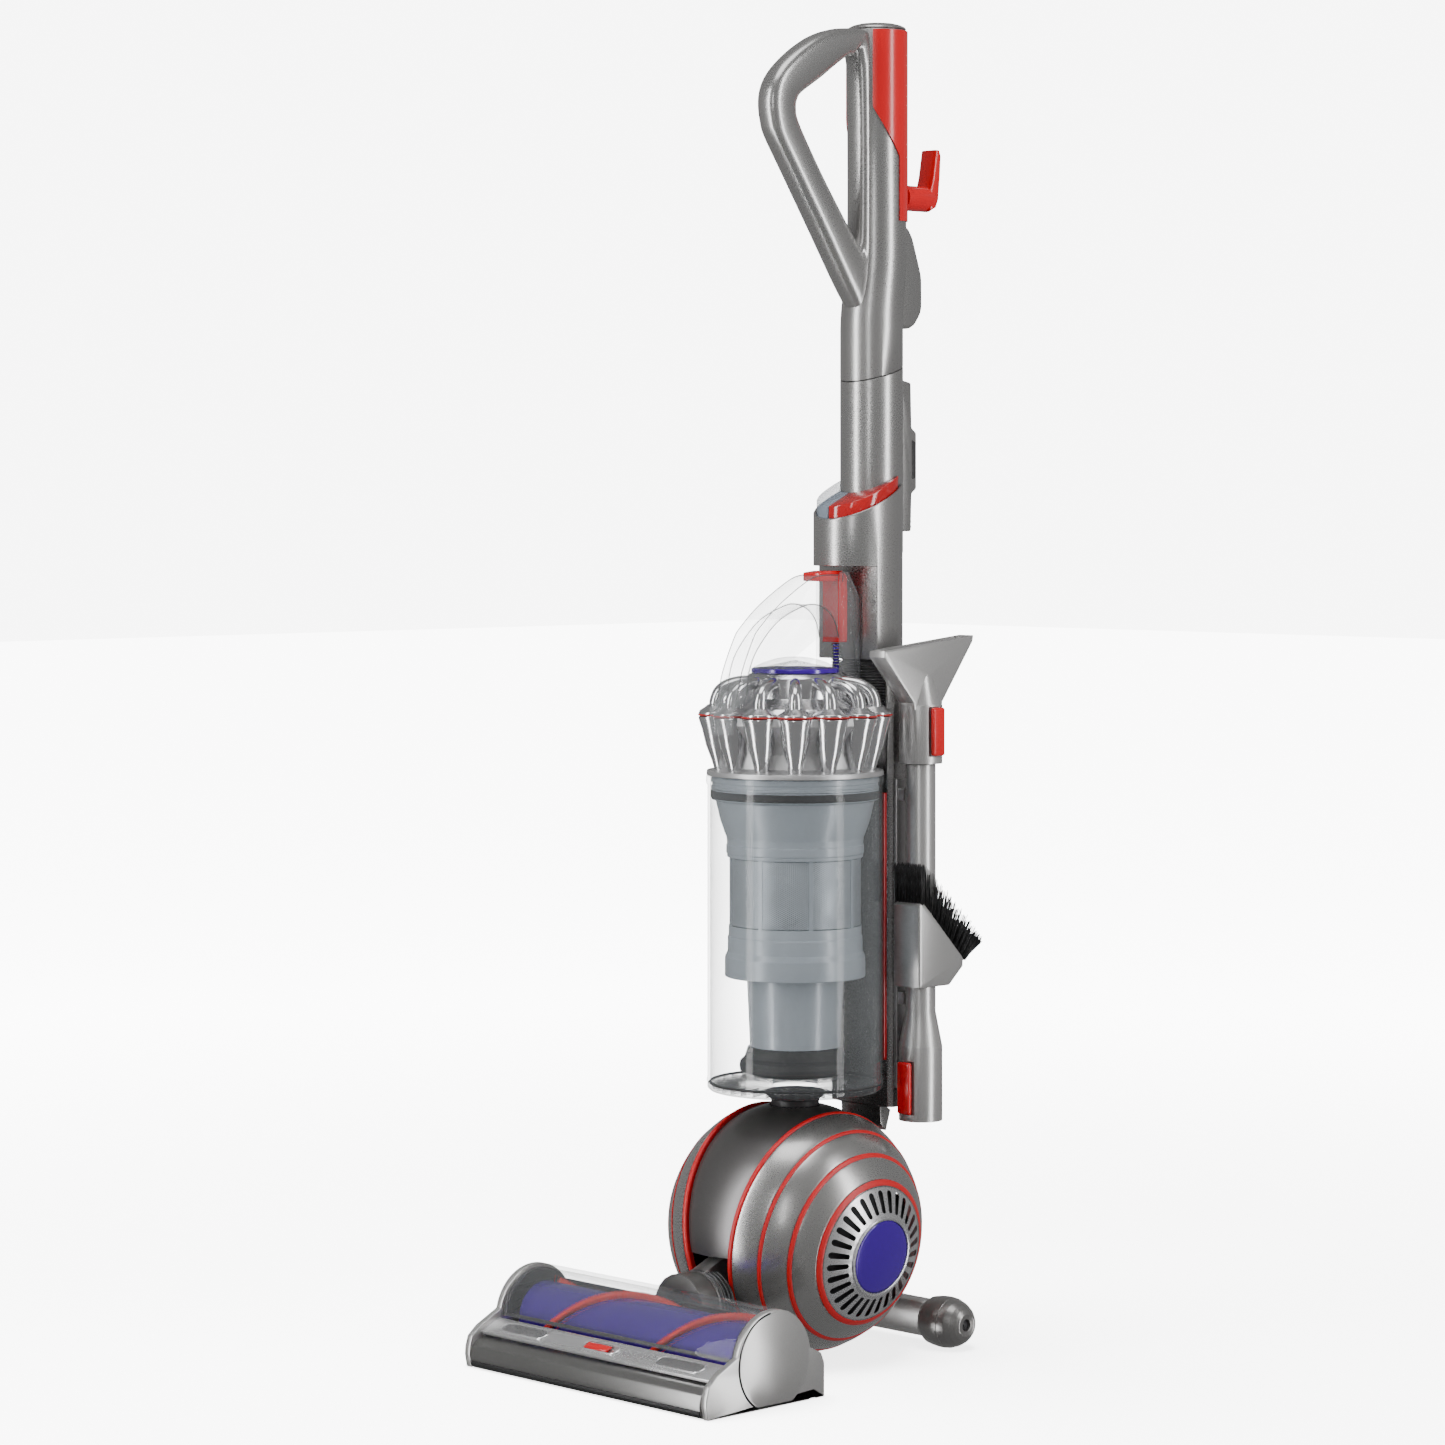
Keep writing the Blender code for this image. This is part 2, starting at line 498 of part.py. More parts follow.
# Centre cover of the ball: a wedge between the two tilted tyres, from the rear over the top to the neck
COVER_FROM, COVER_TO, COVER_STEPS, COVER_COLUMNS = 38, 188, 24, 6
cover_edge = TYRE_C - TYRE_W / 2 - RUN_GAP
rows = []
for i in range(COVER_STEPS + 1):
    angle = math.radians(COVER_FROM + (COVER_TO - COVER_FROM) * i / COVER_STEPS)
    half = cover_edge
    for _ in range(4):                              # the edge lies in the tyre's tilted plane
        rise = on_sphere(COVER_R, half) * math.sin(angle)
        half = (cover_edge + rise * math.sin(CAMBER)) / math.cos(CAMBER)
    row = []
    for j in range(COVER_COLUMNS + 1):
        x = half * (2 * j / COVER_COLUMNS - 1)
        middle = on_sphere(COVER_R - SKIN / 2, x)
        row.append((x, middle * math.cos(angle), middle * math.sin(angle)))
    rows.append(row)
sheet = bmesh.new()
grid = [[sheet.verts.new(point) for point in row] for row in rows]
for low, high in zip(grid, grid[1:]):
    for a, b, c, d in zip(low, low[1:], high[1:], high):
        sheet.faces.new((a, b, c, d))
cover = place("ball_cover", mesh_of("ball_cover", sheet), "upright", IRON, CENTRE)
thick = cover.modifiers.new("skin", "SOLIDIFY")
thick.thickness = SKIN
thick.offset = 0.0
TUBE_R = 0.0195
cut(cover, cylinder("cover_hole", "upright", IRON, TUBE_R + RUN_GAP, 0.05, (0.0, 0.0, BALL_Z + COVER_R)))

# Pedestal: the air pipe from the bin's foot down to the drum, with the flange that the bin stands on
BIN_SEAT = BIN_FOOT - 0.001
turned("pedestal", "upright", DARK,
       [(PEDESTAL_R, BIN_SEAT), (PEDESTAL_R, BIN_SEAT - 0.003), (TUBE_R, BALL_Z + COVER_R + 0.0025),
        (TUBE_R, BALL_Z + DRUM_R + 0.0015), (INLET_R, BALL_Z + DRUM_R + 0.0015), (INLET_R, BIN_SEAT)],
       ring=True)

# Spine: a channel behind the bin, open to the rear, with the hose in it and a foot on the ball

FLAT = (0.0, 0.0, 0.0)
inner_half = SPINE_HALF - SPINE_WALL
channel = [(-SPINE_HALF, SPINE_FRONT + 0.004), (-SPINE_HALF + 0.004, SPINE_FRONT),
           (SPINE_HALF - 0.004, SPINE_FRONT),
           (SPINE_HALF, SPINE_FRONT + 0.004), (SPINE_HALF, SPINE_BACK), (inner_half, SPINE_BACK),
           (inner_half, SPINE_FRONT + SPINE_WALL), (-inner_half, SPINE_FRONT + SPINE_WALL),
           (-inner_half, SPINE_BACK), (-SPINE_HALF, SPINE_BACK)]
spine = outline("spine", "upright", NICKEL, [channel], SPINE_TOP - SPINE_FOOT,
                (0.0, 0.0, (SPINE_TOP + SPINE_FOOT) / 2), FLAT)
foot_line = [(SPINE_FRONT + 0.0005, 0.240), (SPINE_FRONT + 0.0005, 0.200), (0.0760, BALL_Z + 0.0740),
             (0.0830, BALL_Z + 0.0680), (0.0885, 0.1860), (SPINE_FRONT + SPINE_WALL - 0.0005, 0.1930),
             (SPINE_FRONT + SPINE_WALL - 0.0005, 0.240)]
fuse(spine, outline("spine_foot", "upright", NICKEL, [foot_line], 0.044))
cut(spine, box("hose_way", "upright", NICKEL, (-0.029, SPINE_FRONT - 0.01, CYCLONE_TOP - 0.024),
               (0.029, SPINE_FRONT + SPINE_WALL + 0.0015, SPINE_TOP + 0.01)))
HOSE_Y = SPINE_FRONT + SPINE_WALL + HOSE_R + 0.0030
hose_spots = [(0.196, HOSE_Y), (0.36, HOSE_Y), (0.520, HOSE_Y), (0.534, (HOSE_Y + WAND_Y) / 2),
              (0.548, WAND_Y + 0.0008), (WAND_FOOT - 0.0035, WAND_Y)]
loft("hose", "upright", HOSE_GREY,
     [[(x, y, z) for x, y in circle(HOSE_R, (0.0, centre), steps=24)] for z, centre in hose_spots])
turned("cord_inlet", "upright", RUBBER,
       [(0.0085, 0.0), (0.0085, 0.0030), (0.0060, 0.0090), (0.0036, 0.0090), (0.0036, 0.0)][::-1],
       (-SPINE_HALF - GAP, 0.100, 0.225), (0.0, -math.pi / 2, 0.0), ring=True, sides=20)

# Upper housing: a rounded tower round the wand, notched in front for the bin's handle, with sloping shoulders


def stadium(radius, y0, y1, steps=14):
    """A circle stretched from y0 to y1."""
    return (circle(radius, (0.0, y1), 0, 179.99, steps) + circle(radius, (0.0, y0), 180, 359.99, steps))


def tower(name, inset, low, high):
    return outline(name, "upright", NICKEL, [stadium(HOUSING_R - inset, HOUSING_Y0, HOUSING_Y1)], high - low,
                   (0.0, 0.0, (high + low) / 2), FLAT)


front_y, rear_y = HOUSING_Y0 - HOUSING_R, HOUSING_Y1 + HOUSING_R
slope = (SHOULDER_REAR - SHOULDER_FRONT) / (rear_y - front_y)


def above_shoulder(name, lift, top=0.08):
    """The room above the shoulders' slope, raised by a lift."""
    low_z, high_z = SHOULDER_FRONT - 0.01 * slope + lift, SHOULDER_REAR + 0.01 * slope + lift
    return outline(name, "upright", NICKEL, [[(front_y - 0.01, low_z), (rear_y + 0.01, high_z),
                   (rear_y + 0.01, high_z + top), (front_y - 0.01, low_z + top)]], 0.10)


BORE = WAND_R + RUN_GAP
housing = tower("upper_housing", 0.0, HOUSING_FOOT, SHOULDER_REAR)
well = tower("button_well", 0.0022, SHOULDER_FRONT - 0.012, SHOULDER_REAR + 0.02)
keep(well, above_shoulder("well_floor", -0.0045))
well_back = box("well_back", "upright", NICKEL, (-0.05, 0.0980, 0.6), (0.05, 0.15, 0.8))
cut(well, well_back)
notch = box("handle_notch", "upright", NICKEL, (-0.05, 0.0, HOUSING_FOOT - 0.01),
            (0.05, HOUSING_NOTCH_Y, HOUSING_NOTCH))
duct_way = box("duct_way", "upright", NICKEL, (-0.016, 0.041, HOUSING_NOTCH - 0.01), (0.016, 0.057, 0.650))
bore = cylinder("wand_bore", "upright", NICKEL, BORE, 0.3, (0.0, WAND_Y, 0.65), sides=BIG_SEGMENTS)
cut(housing, above_shoulder("over_shoulder", 0.0), well, notch, duct_way, bore)
frame("power_button", (0.0, WAND_Y, SHOULDER_REAR))
frame("brush_button", (0.0, WAND_Y, SHOULDER_REAR))
for name, sign, material in (("power_button", 1, RED), ("brush_button", -1, CLEAR)):
    button = outline(name, name, material, [stadium(HOUSING_R - 0.0022 - GAP, HOUSING_Y0, HOUSING_Y1)], 0.08,
                     (0.0, 0.0, 0.69), FLAT)
    keep(button, above_shoulder(f"{name}_floor", GAP - 0.0045 + BUTTON_TRAVEL, BUTTON_H))
    half = box(f"{name}_half", name, material, (min(0, sign * 0.05) + (sign > 0) * GAP, 0.0, 0.6),
               (max(0, sign * 0.05) - (sign < 0) * GAP, 0.0980 - GAP, 0.8))
    keep(button, half)
    cut(button, cylinder(f"{name}_bore", name, material, BORE, 0.3, (0.0, WAND_Y, 0.65), sides=BIG_SEGMENTS))

# Wand: the lower tube with its rear rail, the handle with its D-shaped loop, the red grip shell and the cap
frame("wand", (0.0, WAND_Y, WAND_FOOT))
tube = turned("wand_tube", "wand", NICKEL,
              [(WAND_R, WAND_JOIN), (WAND_R, WAND_FOOT), (WAND_R - WAND_WALL, WAND_FOOT),
               (WAND_R - WAND_WALL, WAND_JOIN)], (0.0, WAND_Y, 0.0), ring=True, sides=BIG_SEGMENTS)
back = WAND_Y + WAND_R
rail = [(back - 0.001, 0.7800), (back + 0.0140, 0.7770), (back + 0.0150, 0.7400), (back + 0.0205, 0.7360),
        (back + 0.0205, 0.6900), (back + 0.0150, 0.6860), (back + 0.0140, 0.6550), (back - 0.001, 0.6550)]
fuse(tube, outline("wand_rail", "wand", NICKEL, [rail], 0.014))
WAND_TOP = TOTAL_HEIGHT - 0.0060
grip_spots = [(WAND_JOIN + GAP, WAND_Y, WAND_R), (0.830, WAND_Y + 0.0003, WAND_R),
              (0.862, GRIP_Y - 0.0022, GRIP_R + 0.0006),
              (0.885, GRIP_Y, GRIP_R), (WAND_TOP, GRIP_Y, GRIP_R)]
handle = loft("handle", "wand", NICKEL,
              [[(x, y, z) for x, y in circle(r, (0.0, centre), steps=32)] for z, centre, r in grip_spots])
loop_out = [(0.0840, 1.0640), (0.0620, 1.0640), (0.0400, 1.0615), (0.0200, 1.0545), (0.0030, 1.0455),
            (-0.0110, 1.0360), (-0.0220, 1.0270), (-0.0300, 1.0170), (-0.0345, 1.0060), (-0.0355, 0.9950),
            (-0.0335, 0.9830), (-0.0290, 0.9710), (-0.0090, 0.9420), (0.0200, 0.9000), (0.0540, 0.8500),
            (0.0700, 0.8300), (0.0900, 0.8300), (0.0900, 1.0640)]
loop_in = [(0.0660, 1.0360), (0.0560, 1.0400), (0.0480, 1.0365), (0.0250, 1.0210), (0.0020, 1.0070),
           (-0.0040, 1.0010), (-0.0055, 0.9930), (-0.0020, 0.9820), (0.0210, 0.9470), (0.0450, 0.9150),
           (0.0620, 0.8930), (0.0680, 0.8960)]
fairing = [(0.0950, 0.9050), (0.1190, 0.9050), (0.1270, 0.8950), (0.1410, 0.8620), (0.1410, 0.8300),
           (0.1290, 0.8200), (0.0950, 0.8200)]
fuse(handle, outline("handle_loop", "wand", NICKEL, [loop_out, loop_in], 2 * LOOP_HALF, bevel=0.0035),
     outline("handle_fairing", "wand", NICKEL, [fairing], 0.030, bevel=0.004))
cut(handle, cylinder("wand_hollow", "wand", NICKEL, GRIP_R - 0.0052, WAND_TOP - WAND_JOIN - 0.012,
                     (0.0, WAND_Y + 0.003, (WAND_TOP + WAND_JOIN) / 2 - 0.008)))
turned("wand_cap", "wand", NICKEL,
       [(0.0, TOTAL_HEIGHT), (0.012, TOTAL_HEIGHT - 0.0007), (GRIP_R - 0.003, TOTAL_HEIGHT - 0.0026),
        (GRIP_R, WAND_TOP + GAP), (0.0, WAND_TOP + GAP)], (0.0, GRIP_Y, 0.0), sides=BIG_SEGMENTS)
SHELL_T, SHELL_FOOT, SHELL_RISE = 0.0022, 0.9080, 0.9600
wrap = bmesh.new()
strips = []
for z in (SHELL_FOOT, *(SHELL_RISE + 0.008 * i for i in range(6)), WAND_TOP - 0.001):
    half = 88 + 56 * min(1.0, max(0.0, (z - SHELL_RISE) / 0.040))
    strips.append([wrap.verts.new((x, y, z)) for x, y in
                   circle(GRIP_R + RUN_GAP + SHELL_T / 2, (0.0, GRIP_Y), 90 - half, 90 + half, 22)])
for low, high in zip(strips, strips[1:]):
    for a, b, c, d in zip(low, low[1:], high[1:], high):
        wrap.faces.new((a, b, c, d))
grip_shell = place("grip_shell", mesh_of("grip_shell", wrap), "wand", RED)
thick = grip_shell.modifiers.new("wall", "SOLIDIFY")
thick.thickness = SHELL_T
thick.offset = 0.0

# Upper cord hook: turns on a rearward pin so that its prong can point down and drop the cord
HOOK_Z = 0.9290
shell_back = GRIP_Y + GRIP_R + RUN_GAP + SHELL_T
frame("cord_hook", (0.0, shell_back, HOOK_Z))
hook = cylinder("cord_hook", "cord_hook", RED, 0.0105, HOOK_REAR - 0.0085 - shell_back - RUN_GAP,
                (0.0, (shell_back + RUN_GAP + HOOK_REAR - 0.0085) / 2, HOOK_Z), (math.pi / 2, 0.0, 0.0))
prong = [(HOOK_REAR - 0.0130, HOOK_Z - 0.0100), (HOOK_REAR - 0.0060, HOOK_Z - 0.0070),
         (HOOK_REAR - 0.0030, HOOK_Z), (HOOK_REAR - 0.0010, HOOK_Z + 0.0200), (HOOK_REAR, HOOK_Z + 0.0360),
         (HOOK_REAR - 0.0020, HOOK_Z + 0.0410), (HOOK_REAR - 0.0060, HOOK_Z + 0.0410),
         (HOOK_REAR - 0.0100, HOOK_Z + 0.0180), (HOOK_REAR - 0.0130, HOOK_Z + 0.0080)]
fuse(hook, outline("hook_prong", "cord_hook", RED, [prong], 0.0180, bevel=0.002))

# Bin: a clear tube whose base hinges at the front, with shroud, cyclones, filter and handle above

HINGE_Y, HINGE_Z = -BIN_R, BIN_FOOT + BASE_T / 2    # the bin tilts about the hinge of its own base
frame("bin", (0.0, HINGE_Y, HINGE_Z))
frame("bin_base", (0.0, HINGE_Y, HINGE_Z))
frame("bin_release", (0.0, 0.0, FILTER_Z))
WALL_FOOT = BIN_FOOT + BASE_T + GAP
turned("bin_wall", "bin", CLEAR,
       [(BIN_R + 0.0012, BIN_TOP), (BIN_R + 0.0012, BIN_TOP - 0.006), (BIN_R, BIN_TOP - 0.008),
        (BIN_R, WALL_FOOT),
        (BIN_R - BIN_WALL, WALL_FOOT), (BIN_R - BIN_WALL, BIN_TOP)], ring=True, sides=BIG_SEGMENTS)
SOCKET_R, CONE_LOW_R = 0.0180, 0.0348
turned("bin_base", "bin_base", CLEAR,
       [(SOCKET_R, BIN_FOOT + 0.010), (CONE_LOW_R + 0.008, BIN_FOOT + 0.010),
        (CONE_LOW_R + 0.009, BIN_FOOT + BASE_T),
        (BIN_R, BIN_FOOT + BASE_T), (BIN_R, BIN_FOOT + 0.002), (BIN_R - 0.002, BIN_FOOT),
        (SOCKET_R, BIN_FOOT)],
       ring=True, sides=BIG_SEGMENTS)
BAND_R, MESH_R = BIN_R - 0.0157, BIN_R - 0.0176
RIM_R = BIN_R - 0.0102                              # the funnel's neck under its upper rim
turned("shroud_funnel", "bin", BLUE_GREY,
       [(BIN_R - BIN_WALL - 0.0010, 0.4500), (BIN_R - BIN_WALL - 0.0010, 0.4420), (RIM_R + 0.0036, 0.4410),
        (RIM_R, 0.4250),
        (BAND_R, 0.4120), (BAND_R, 0.3955), (BAND_R - 0.004, 0.3955), (BAND_R - 0.004, 0.4100),
        (RIM_R - 0.0040, 0.4250),
        (RIM_R, 0.4500)], ring=True, sides=BIG_SEGMENTS)
turned("shroud_mesh", "bin", BLUE_GREY,
       [(MESH_R, 0.3950), (MESH_R, 0.3415), (MESH_R - 0.0020, 0.3415), (MESH_R - 0.0020, 0.3950)],
       ring=True, sides=BIG_SEGMENTS)
turned("shroud_cone", "bin", BLUE_GREY,
       [(MESH_R + 0.0006, 0.3410), (MESH_R + 0.0006, 0.3200), (BAND_R + 0.0018, 0.3150),
        (BAND_R + 0.0018, 0.3000), (BAND_R - 0.0005, 0.3000),
        (BAND_R - 0.0005, 0.3080), (0.0388, 0.3080), (0.0388, 0.3030), (CONE_LOW_R, BIN_FOOT + 0.0110),
        (0.0320, BIN_FOOT + 0.0110),
        (0.0358, 0.3110), (MESH_R - 0.0015, 0.3110), (MESH_R - 0.0015, 0.3410)], ring=True,
        sides=BIG_SEGMENTS)

# Cyclone pack: a ring of tapering cones round a core, closed by a lid whose ducts feed the filter
core = turned("cyclone_pack", "bin", CHROME,
              [(0.0705, CYCLONE_TOP), (0.0705, CYCLONE_TOP - 0.006), (0.0575, CYCLONE_TOP - 0.012),
               (0.0590, CYCLONE_FOOT + 0.003), (BIN_R - 0.001, CYCLONE_FOOT + 0.002),
               (BIN_R - 0.001, BIN_TOP + GAP), (0.0480, BIN_TOP + GAP), (0.0460, CYCLONE_TOP)], ring=True,
               sides=2 * CONES)
cones = bmesh.new()
lean = math.atan2(CONE_RING - (CONE_RING - 0.0045), CYCLONE_TOP - CYCLONE_FOOT)
for i in range(CONES):
    spin = Matrix.Rotation(2 * math.pi * (i + 0.25) / CONES, 4, "Z")
    made = bmesh.ops.create_cone(cones, cap_ends=True, segments=12, radius1=CONE_TIP, radius2=CONE_R,
                                 depth=CYCLONE_TOP - CYCLONE_FOOT)["verts"]
    bmesh.ops.rotate(cones, cent=(0.0, 0.0, 0.0), matrix=Matrix.Rotation(lean, 3, "Y"), verts=made)
    bmesh.ops.translate(cones, vec=(CONE_RING - 0.0022, 0.0, (CYCLONE_TOP + CYCLONE_FOOT) / 2), verts=made)
    bmesh.ops.transform(cones, matrix=spin, verts=made)
fuse(core, place("cones", mesh_of("cones", cones), "bin", CHROME))
level = box("level", "bin", CHROME, (-0.1, -0.1, CYCLONE_TOP), (0.1, 0.1, CYCLONE_TOP + 0.02))
cut(core, level)
LID_R = CONE_RING + CONE_R
turned("cyclone_lid", "bin", CHROME,
       [(0.0, FILTER_Z - GAP), (FILTER_R + 0.0005, FILTER_Z - GAP), (FILTER_R + 0.0045, 0.5370),
        (0.0530, 0.5320),
        (0.0600, 0.5230), (0.0700, 0.5175), (LID_R, 0.5125), (LID_R, CYCLONE_TOP + GAP),
        (0.0, CYCLONE_TOP + GAP)],
       sides=2 * CONES)
turned("filter_ring", "bin", PURPLE,
       [(FILTER_R, FILTER_Z + 0.0035), (FILTER_R, FILTER_Z), (FILTER_R - 0.006, FILTER_Z),
        (FILTER_R - 0.006, FILTER_Z + 0.0035)], ring=True, sides=BIG_SEGMENTS)
turned("filter_dome", "bin", CLEAR,
       [(0.0, FILTER_Z + 0.0125), (0.014, FILTER_Z + 0.0115), (0.024, FILTER_Z + 0.0085),
        (FILTER_R - 0.0015, FILTER_Z + 0.004),
        (0.0, FILTER_Z + 0.004)], sides=BIG_SEGMENTS)

# Carrying handle: one clear piece, a flat arch from a tab on the front cone up to a block behind the filter
arch = [(-0.0850, 0.4960), (-0.0850, 0.5180), (-0.0765, 0.5240), (-0.0705, 0.5450), (-0.0580, 0.5710),
        (-0.0499, 0.5807), (-0.0297, 0.5970), (-0.0014, 0.6137), (0.0157, 0.6205), (0.0387, 0.6205),
        (0.0387, 0.5700), (0.0345, 0.5830), (0.0260, 0.5920), (0.0120, 0.5970), (-0.0035, 0.5953),
        (-0.0307, 0.5840), (-0.0534, 0.5625), (-0.0624, 0.5447), (-0.0660, 0.5250), (-0.0795, 0.5145),
        (-0.0800, 0.4960)]
BLOCK_FRONT, BLOCK_REAR = 0.0387, HOUSING_NOTCH_Y - 0.0015
block = [(BLOCK_FRONT, 0.6235), (0.0450, 0.6235), (BLOCK_REAR - 0.004, 0.6080), (BLOCK_REAR, 0.6000),
         (BLOCK_REAR, 0.5290), (0.0530, 0.5340), (0.0480, 0.5370), (BLOCK_FRONT, 0.5420)]
carry = outline("carry_handle", "bin", CLEAR, [block], 2 * CARRY_HALF)
fuse(carry, outline("carry_arch", "bin", CLEAR, [arch], 2 * BAND_HALF))
LEVER_HALF, LEVER_REAR, LEVER_FOOT = 0.0095, 0.0510, 0.5660
cut(carry,
    box("lever_slot", "bin", CLEAR, (-LEVER_HALF - 0.0008, BLOCK_FRONT - 0.001,
                                     LEVER_FOOT - TRIGGER_TRAVEL - 0.002),
        (LEVER_HALF + 0.0008, LEVER_REAR + 0.0008, 0.64)),
    box("thumb_room", "bin", CLEAR, (-0.02, 0.0165, 0.6155 - TRIGGER_TRAVEL - 0.001),
        (0.02, BLOCK_FRONT + 0.0005, 0.64)))
lever = [(0.0180, 0.6225), (0.0300, 0.6238), (0.0455, 0.6238), (LEVER_REAR, 0.6195), (LEVER_REAR, LEVER_FOOT),
         (0.0405, LEVER_FOOT), (0.0405, 0.6155), (0.0180, 0.6155)]
outline("release_lever", "bin_release", RED, [lever], 2 * LEVER_HALF, bevel=0.001)
ROD_X = 0.0400
ROD_Y = math.sqrt((BIN_R + 0.0029) ** 2 - ROD_X ** 2)     # just behind the wall
cylinder("release_rod", "bin_release", RED, 0.0018, 0.215, (ROD_X, ROD_Y, 0.3380), sides=10)

# Tools: holder on the spine, then the stair tool over the combination tool with its sliding brush
holder = box("tool_holder", "upright", NICKEL, (SPINE_HALF + GAP, 0.0765, 0.2060), (0.0395, 0.0935, 0.4560),
             0.001)
fuse(holder, *[box(f"holder_arm_{i}", "upright", NICKEL, (0.0375, 0.0785, z),
                   (TOOL_X - NOZZLE_R - GAP, 0.0915, z + 0.010))
               for i, z in enumerate((0.2740, 0.4380))])
frame("stair_tool", (TOOL_X, TOOL_Y, STAIR_FOOT))
frame("stair_button", (TOOL_X + COLLAR_R, TOOL_Y, 0.4960))
frame("combi_tool", (TOOL_X, TOOL_Y, COMBI_FOOT))
frame("combi_button", (TOOL_X, TOOL_Y - COLLAR_R, 0.2090))
frame("tool_brush", (TOOL_X, TOOL_Y, 0.3100))
MOUTH_LOW, MOUTH_HIGH = -0.0510, 0.0540
fan = [(-0.0165, 0.5120), (-0.0168, 0.5180), (MOUTH_LOW, 0.5555), (MOUTH_LOW + 0.0005, 0.5605),
       (MOUTH_HIGH, STAIR_LIP), (MOUTH_HIGH - 0.001, 0.5660), (0.0168, 0.5180), (0.0165, 0.5120)]
stair = cylinder("stair_tool", "stair_tool", NICKEL, COLLAR_R, 0.5160 - STAIR_FOOT,
                 (TOOL_X, TOOL_Y, (0.5160 + STAIR_FOOT) / 2))
fuse(stair, outline("fan", "stair_tool", NICKEL, [fan], FAN_T, (TOOL_X, TOOL_Y, 0.0), bevel=0.0015),
     cylinder("fan_cone", "stair_tool", NICKEL, COLLAR_R - 0.0004, 0.036, (TOOL_X, TOOL_Y, 0.5325),
              tip=0.006))
hollow_line = [(-0.0100, 0.5000), (-0.0125, 0.5190), (MOUTH_LOW + 0.006, 0.5555), (MOUTH_LOW + 0.006, 0.5800),
               (MOUTH_HIGH - 0.006, 0.5800), (MOUTH_HIGH - 0.006, 0.5640), (0.0125, 0.5190), (0.0100, 0.5000)]
cut(stair, outline("fan_hollow", "stair_tool", NICKEL, [hollow_line], FAN_T - 0.005, (TOOL_X, TOOL_Y, 0.0)),
    cylinder("stair_socket", "stair_tool", NICKEL, COLLAR_R - 0.004, 0.040,
             (TOOL_X, TOOL_Y, STAIR_FOOT + 0.018)),
    box("stair_pocket", "stair_tool", NICKEL, (TOOL_X + 0.0145, TOOL_Y - 0.0075, 0.4750),
        (TOOL_X + 0.03, TOOL_Y + 0.0075, 0.5150)))
box("stair_button", "stair_button", RED, (TOOL_X + 0.0170, TOOL_Y - 0.0068, 0.4757),
    (TOOL_X + COLLAR_R + 0.0035, TOOL_Y + 0.0068, 0.5143), 0.0015)
combi = cylinder("combi_nozzle", "combi_tool", NICKEL, COLLAR_R, 0.0600, (TOOL_X, TOOL_Y, COMBI_FOOT + 0.030))
fuse(combi, cylinder("nozzle_tube", "combi_tool", NICKEL, NOZZLE_R, COMBI_TOP - COMBI_FOOT - 0.020,
                     (TOOL_X, TOOL_Y, (COMBI_TOP + COMBI_FOOT + 0.020) / 2)),
     cylinder("nozzle_cone", "combi_tool", NICKEL, COLLAR_R, 0.028, (TOOL_X, TOOL_Y, COMBI_FOOT + 0.0738),
              tip=NOZZLE_R))
cut(combi, cylinder("nozzle_bore", "combi_tool", NICKEL, NOZZLE_R - 0.0022, 0.35, (TOOL_X, TOOL_Y, 0.33)),
    cylinder("combi_socket", "combi_tool", NICKEL, COLLAR_R - 0.004, 0.050,
             (TOOL_X, TOOL_Y, COMBI_FOOT + 0.023)),
    box("combi_pocket", "combi_tool", NICKEL, (TOOL_X - 0.0075, TOOL_Y - 0.03, 0.1875),
        (TOOL_X + 0.0075, TOOL_Y - 0.0145, 0.2305)))
box("combi_button", "combi_button", RED, (TOOL_X - 0.0068, TOOL_Y - COLLAR_R - 0.0035, 0.1882),
    (TOOL_X + 0.0068, TOOL_Y - 0.0170, 0.2298), 0.0015)
BRUSH_LOW = 0.2900
brush_line = [(-0.0180, BRUSH_LOW), (-0.0180, 0.3560), (-0.0130, 0.3590), (0.0345, 0.3110), (0.0340, 0.3040),
              (0.0180, BRUSH_LOW)]
brush = outline("tool_brush", "tool_brush", NICKEL, [brush_line], 0.0300, (TOOL_X + 0.0010, TOOL_Y, 0.0),
                bevel=0.002)
cut(brush, cylinder("brush_bore", "tool_brush", NICKEL, NOZZLE_R + GAP, 0.2, (TOOL_X, TOOL_Y, 0.33)))
tuft_line = [(-0.0150, 0.3610), (-0.0120, 0.3900), (0.0200, 0.3620), (0.0520, 0.3320), (0.0560, 0.3220),
             (0.0350, 0.3118)]
tufts = outline("brush_bristles", "tool_brush", RUBBER, [tuft_line], 0.0300, (TOOL_X + 0.0010, TOOL_Y, 0.0))
cut(tufts, cylinder("tuft_bore", "tool_brush", RUBBER, NOZZLE_R + GAP, 0.2, (TOOL_X, TOOL_Y, 0.36)))
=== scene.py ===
"""An upright ball vacuum cleaner, piece by piece from the ball and floor head to the handle and tools."""
import json
import math

import bmesh
import bpy
from mathutils import Matrix, Vector

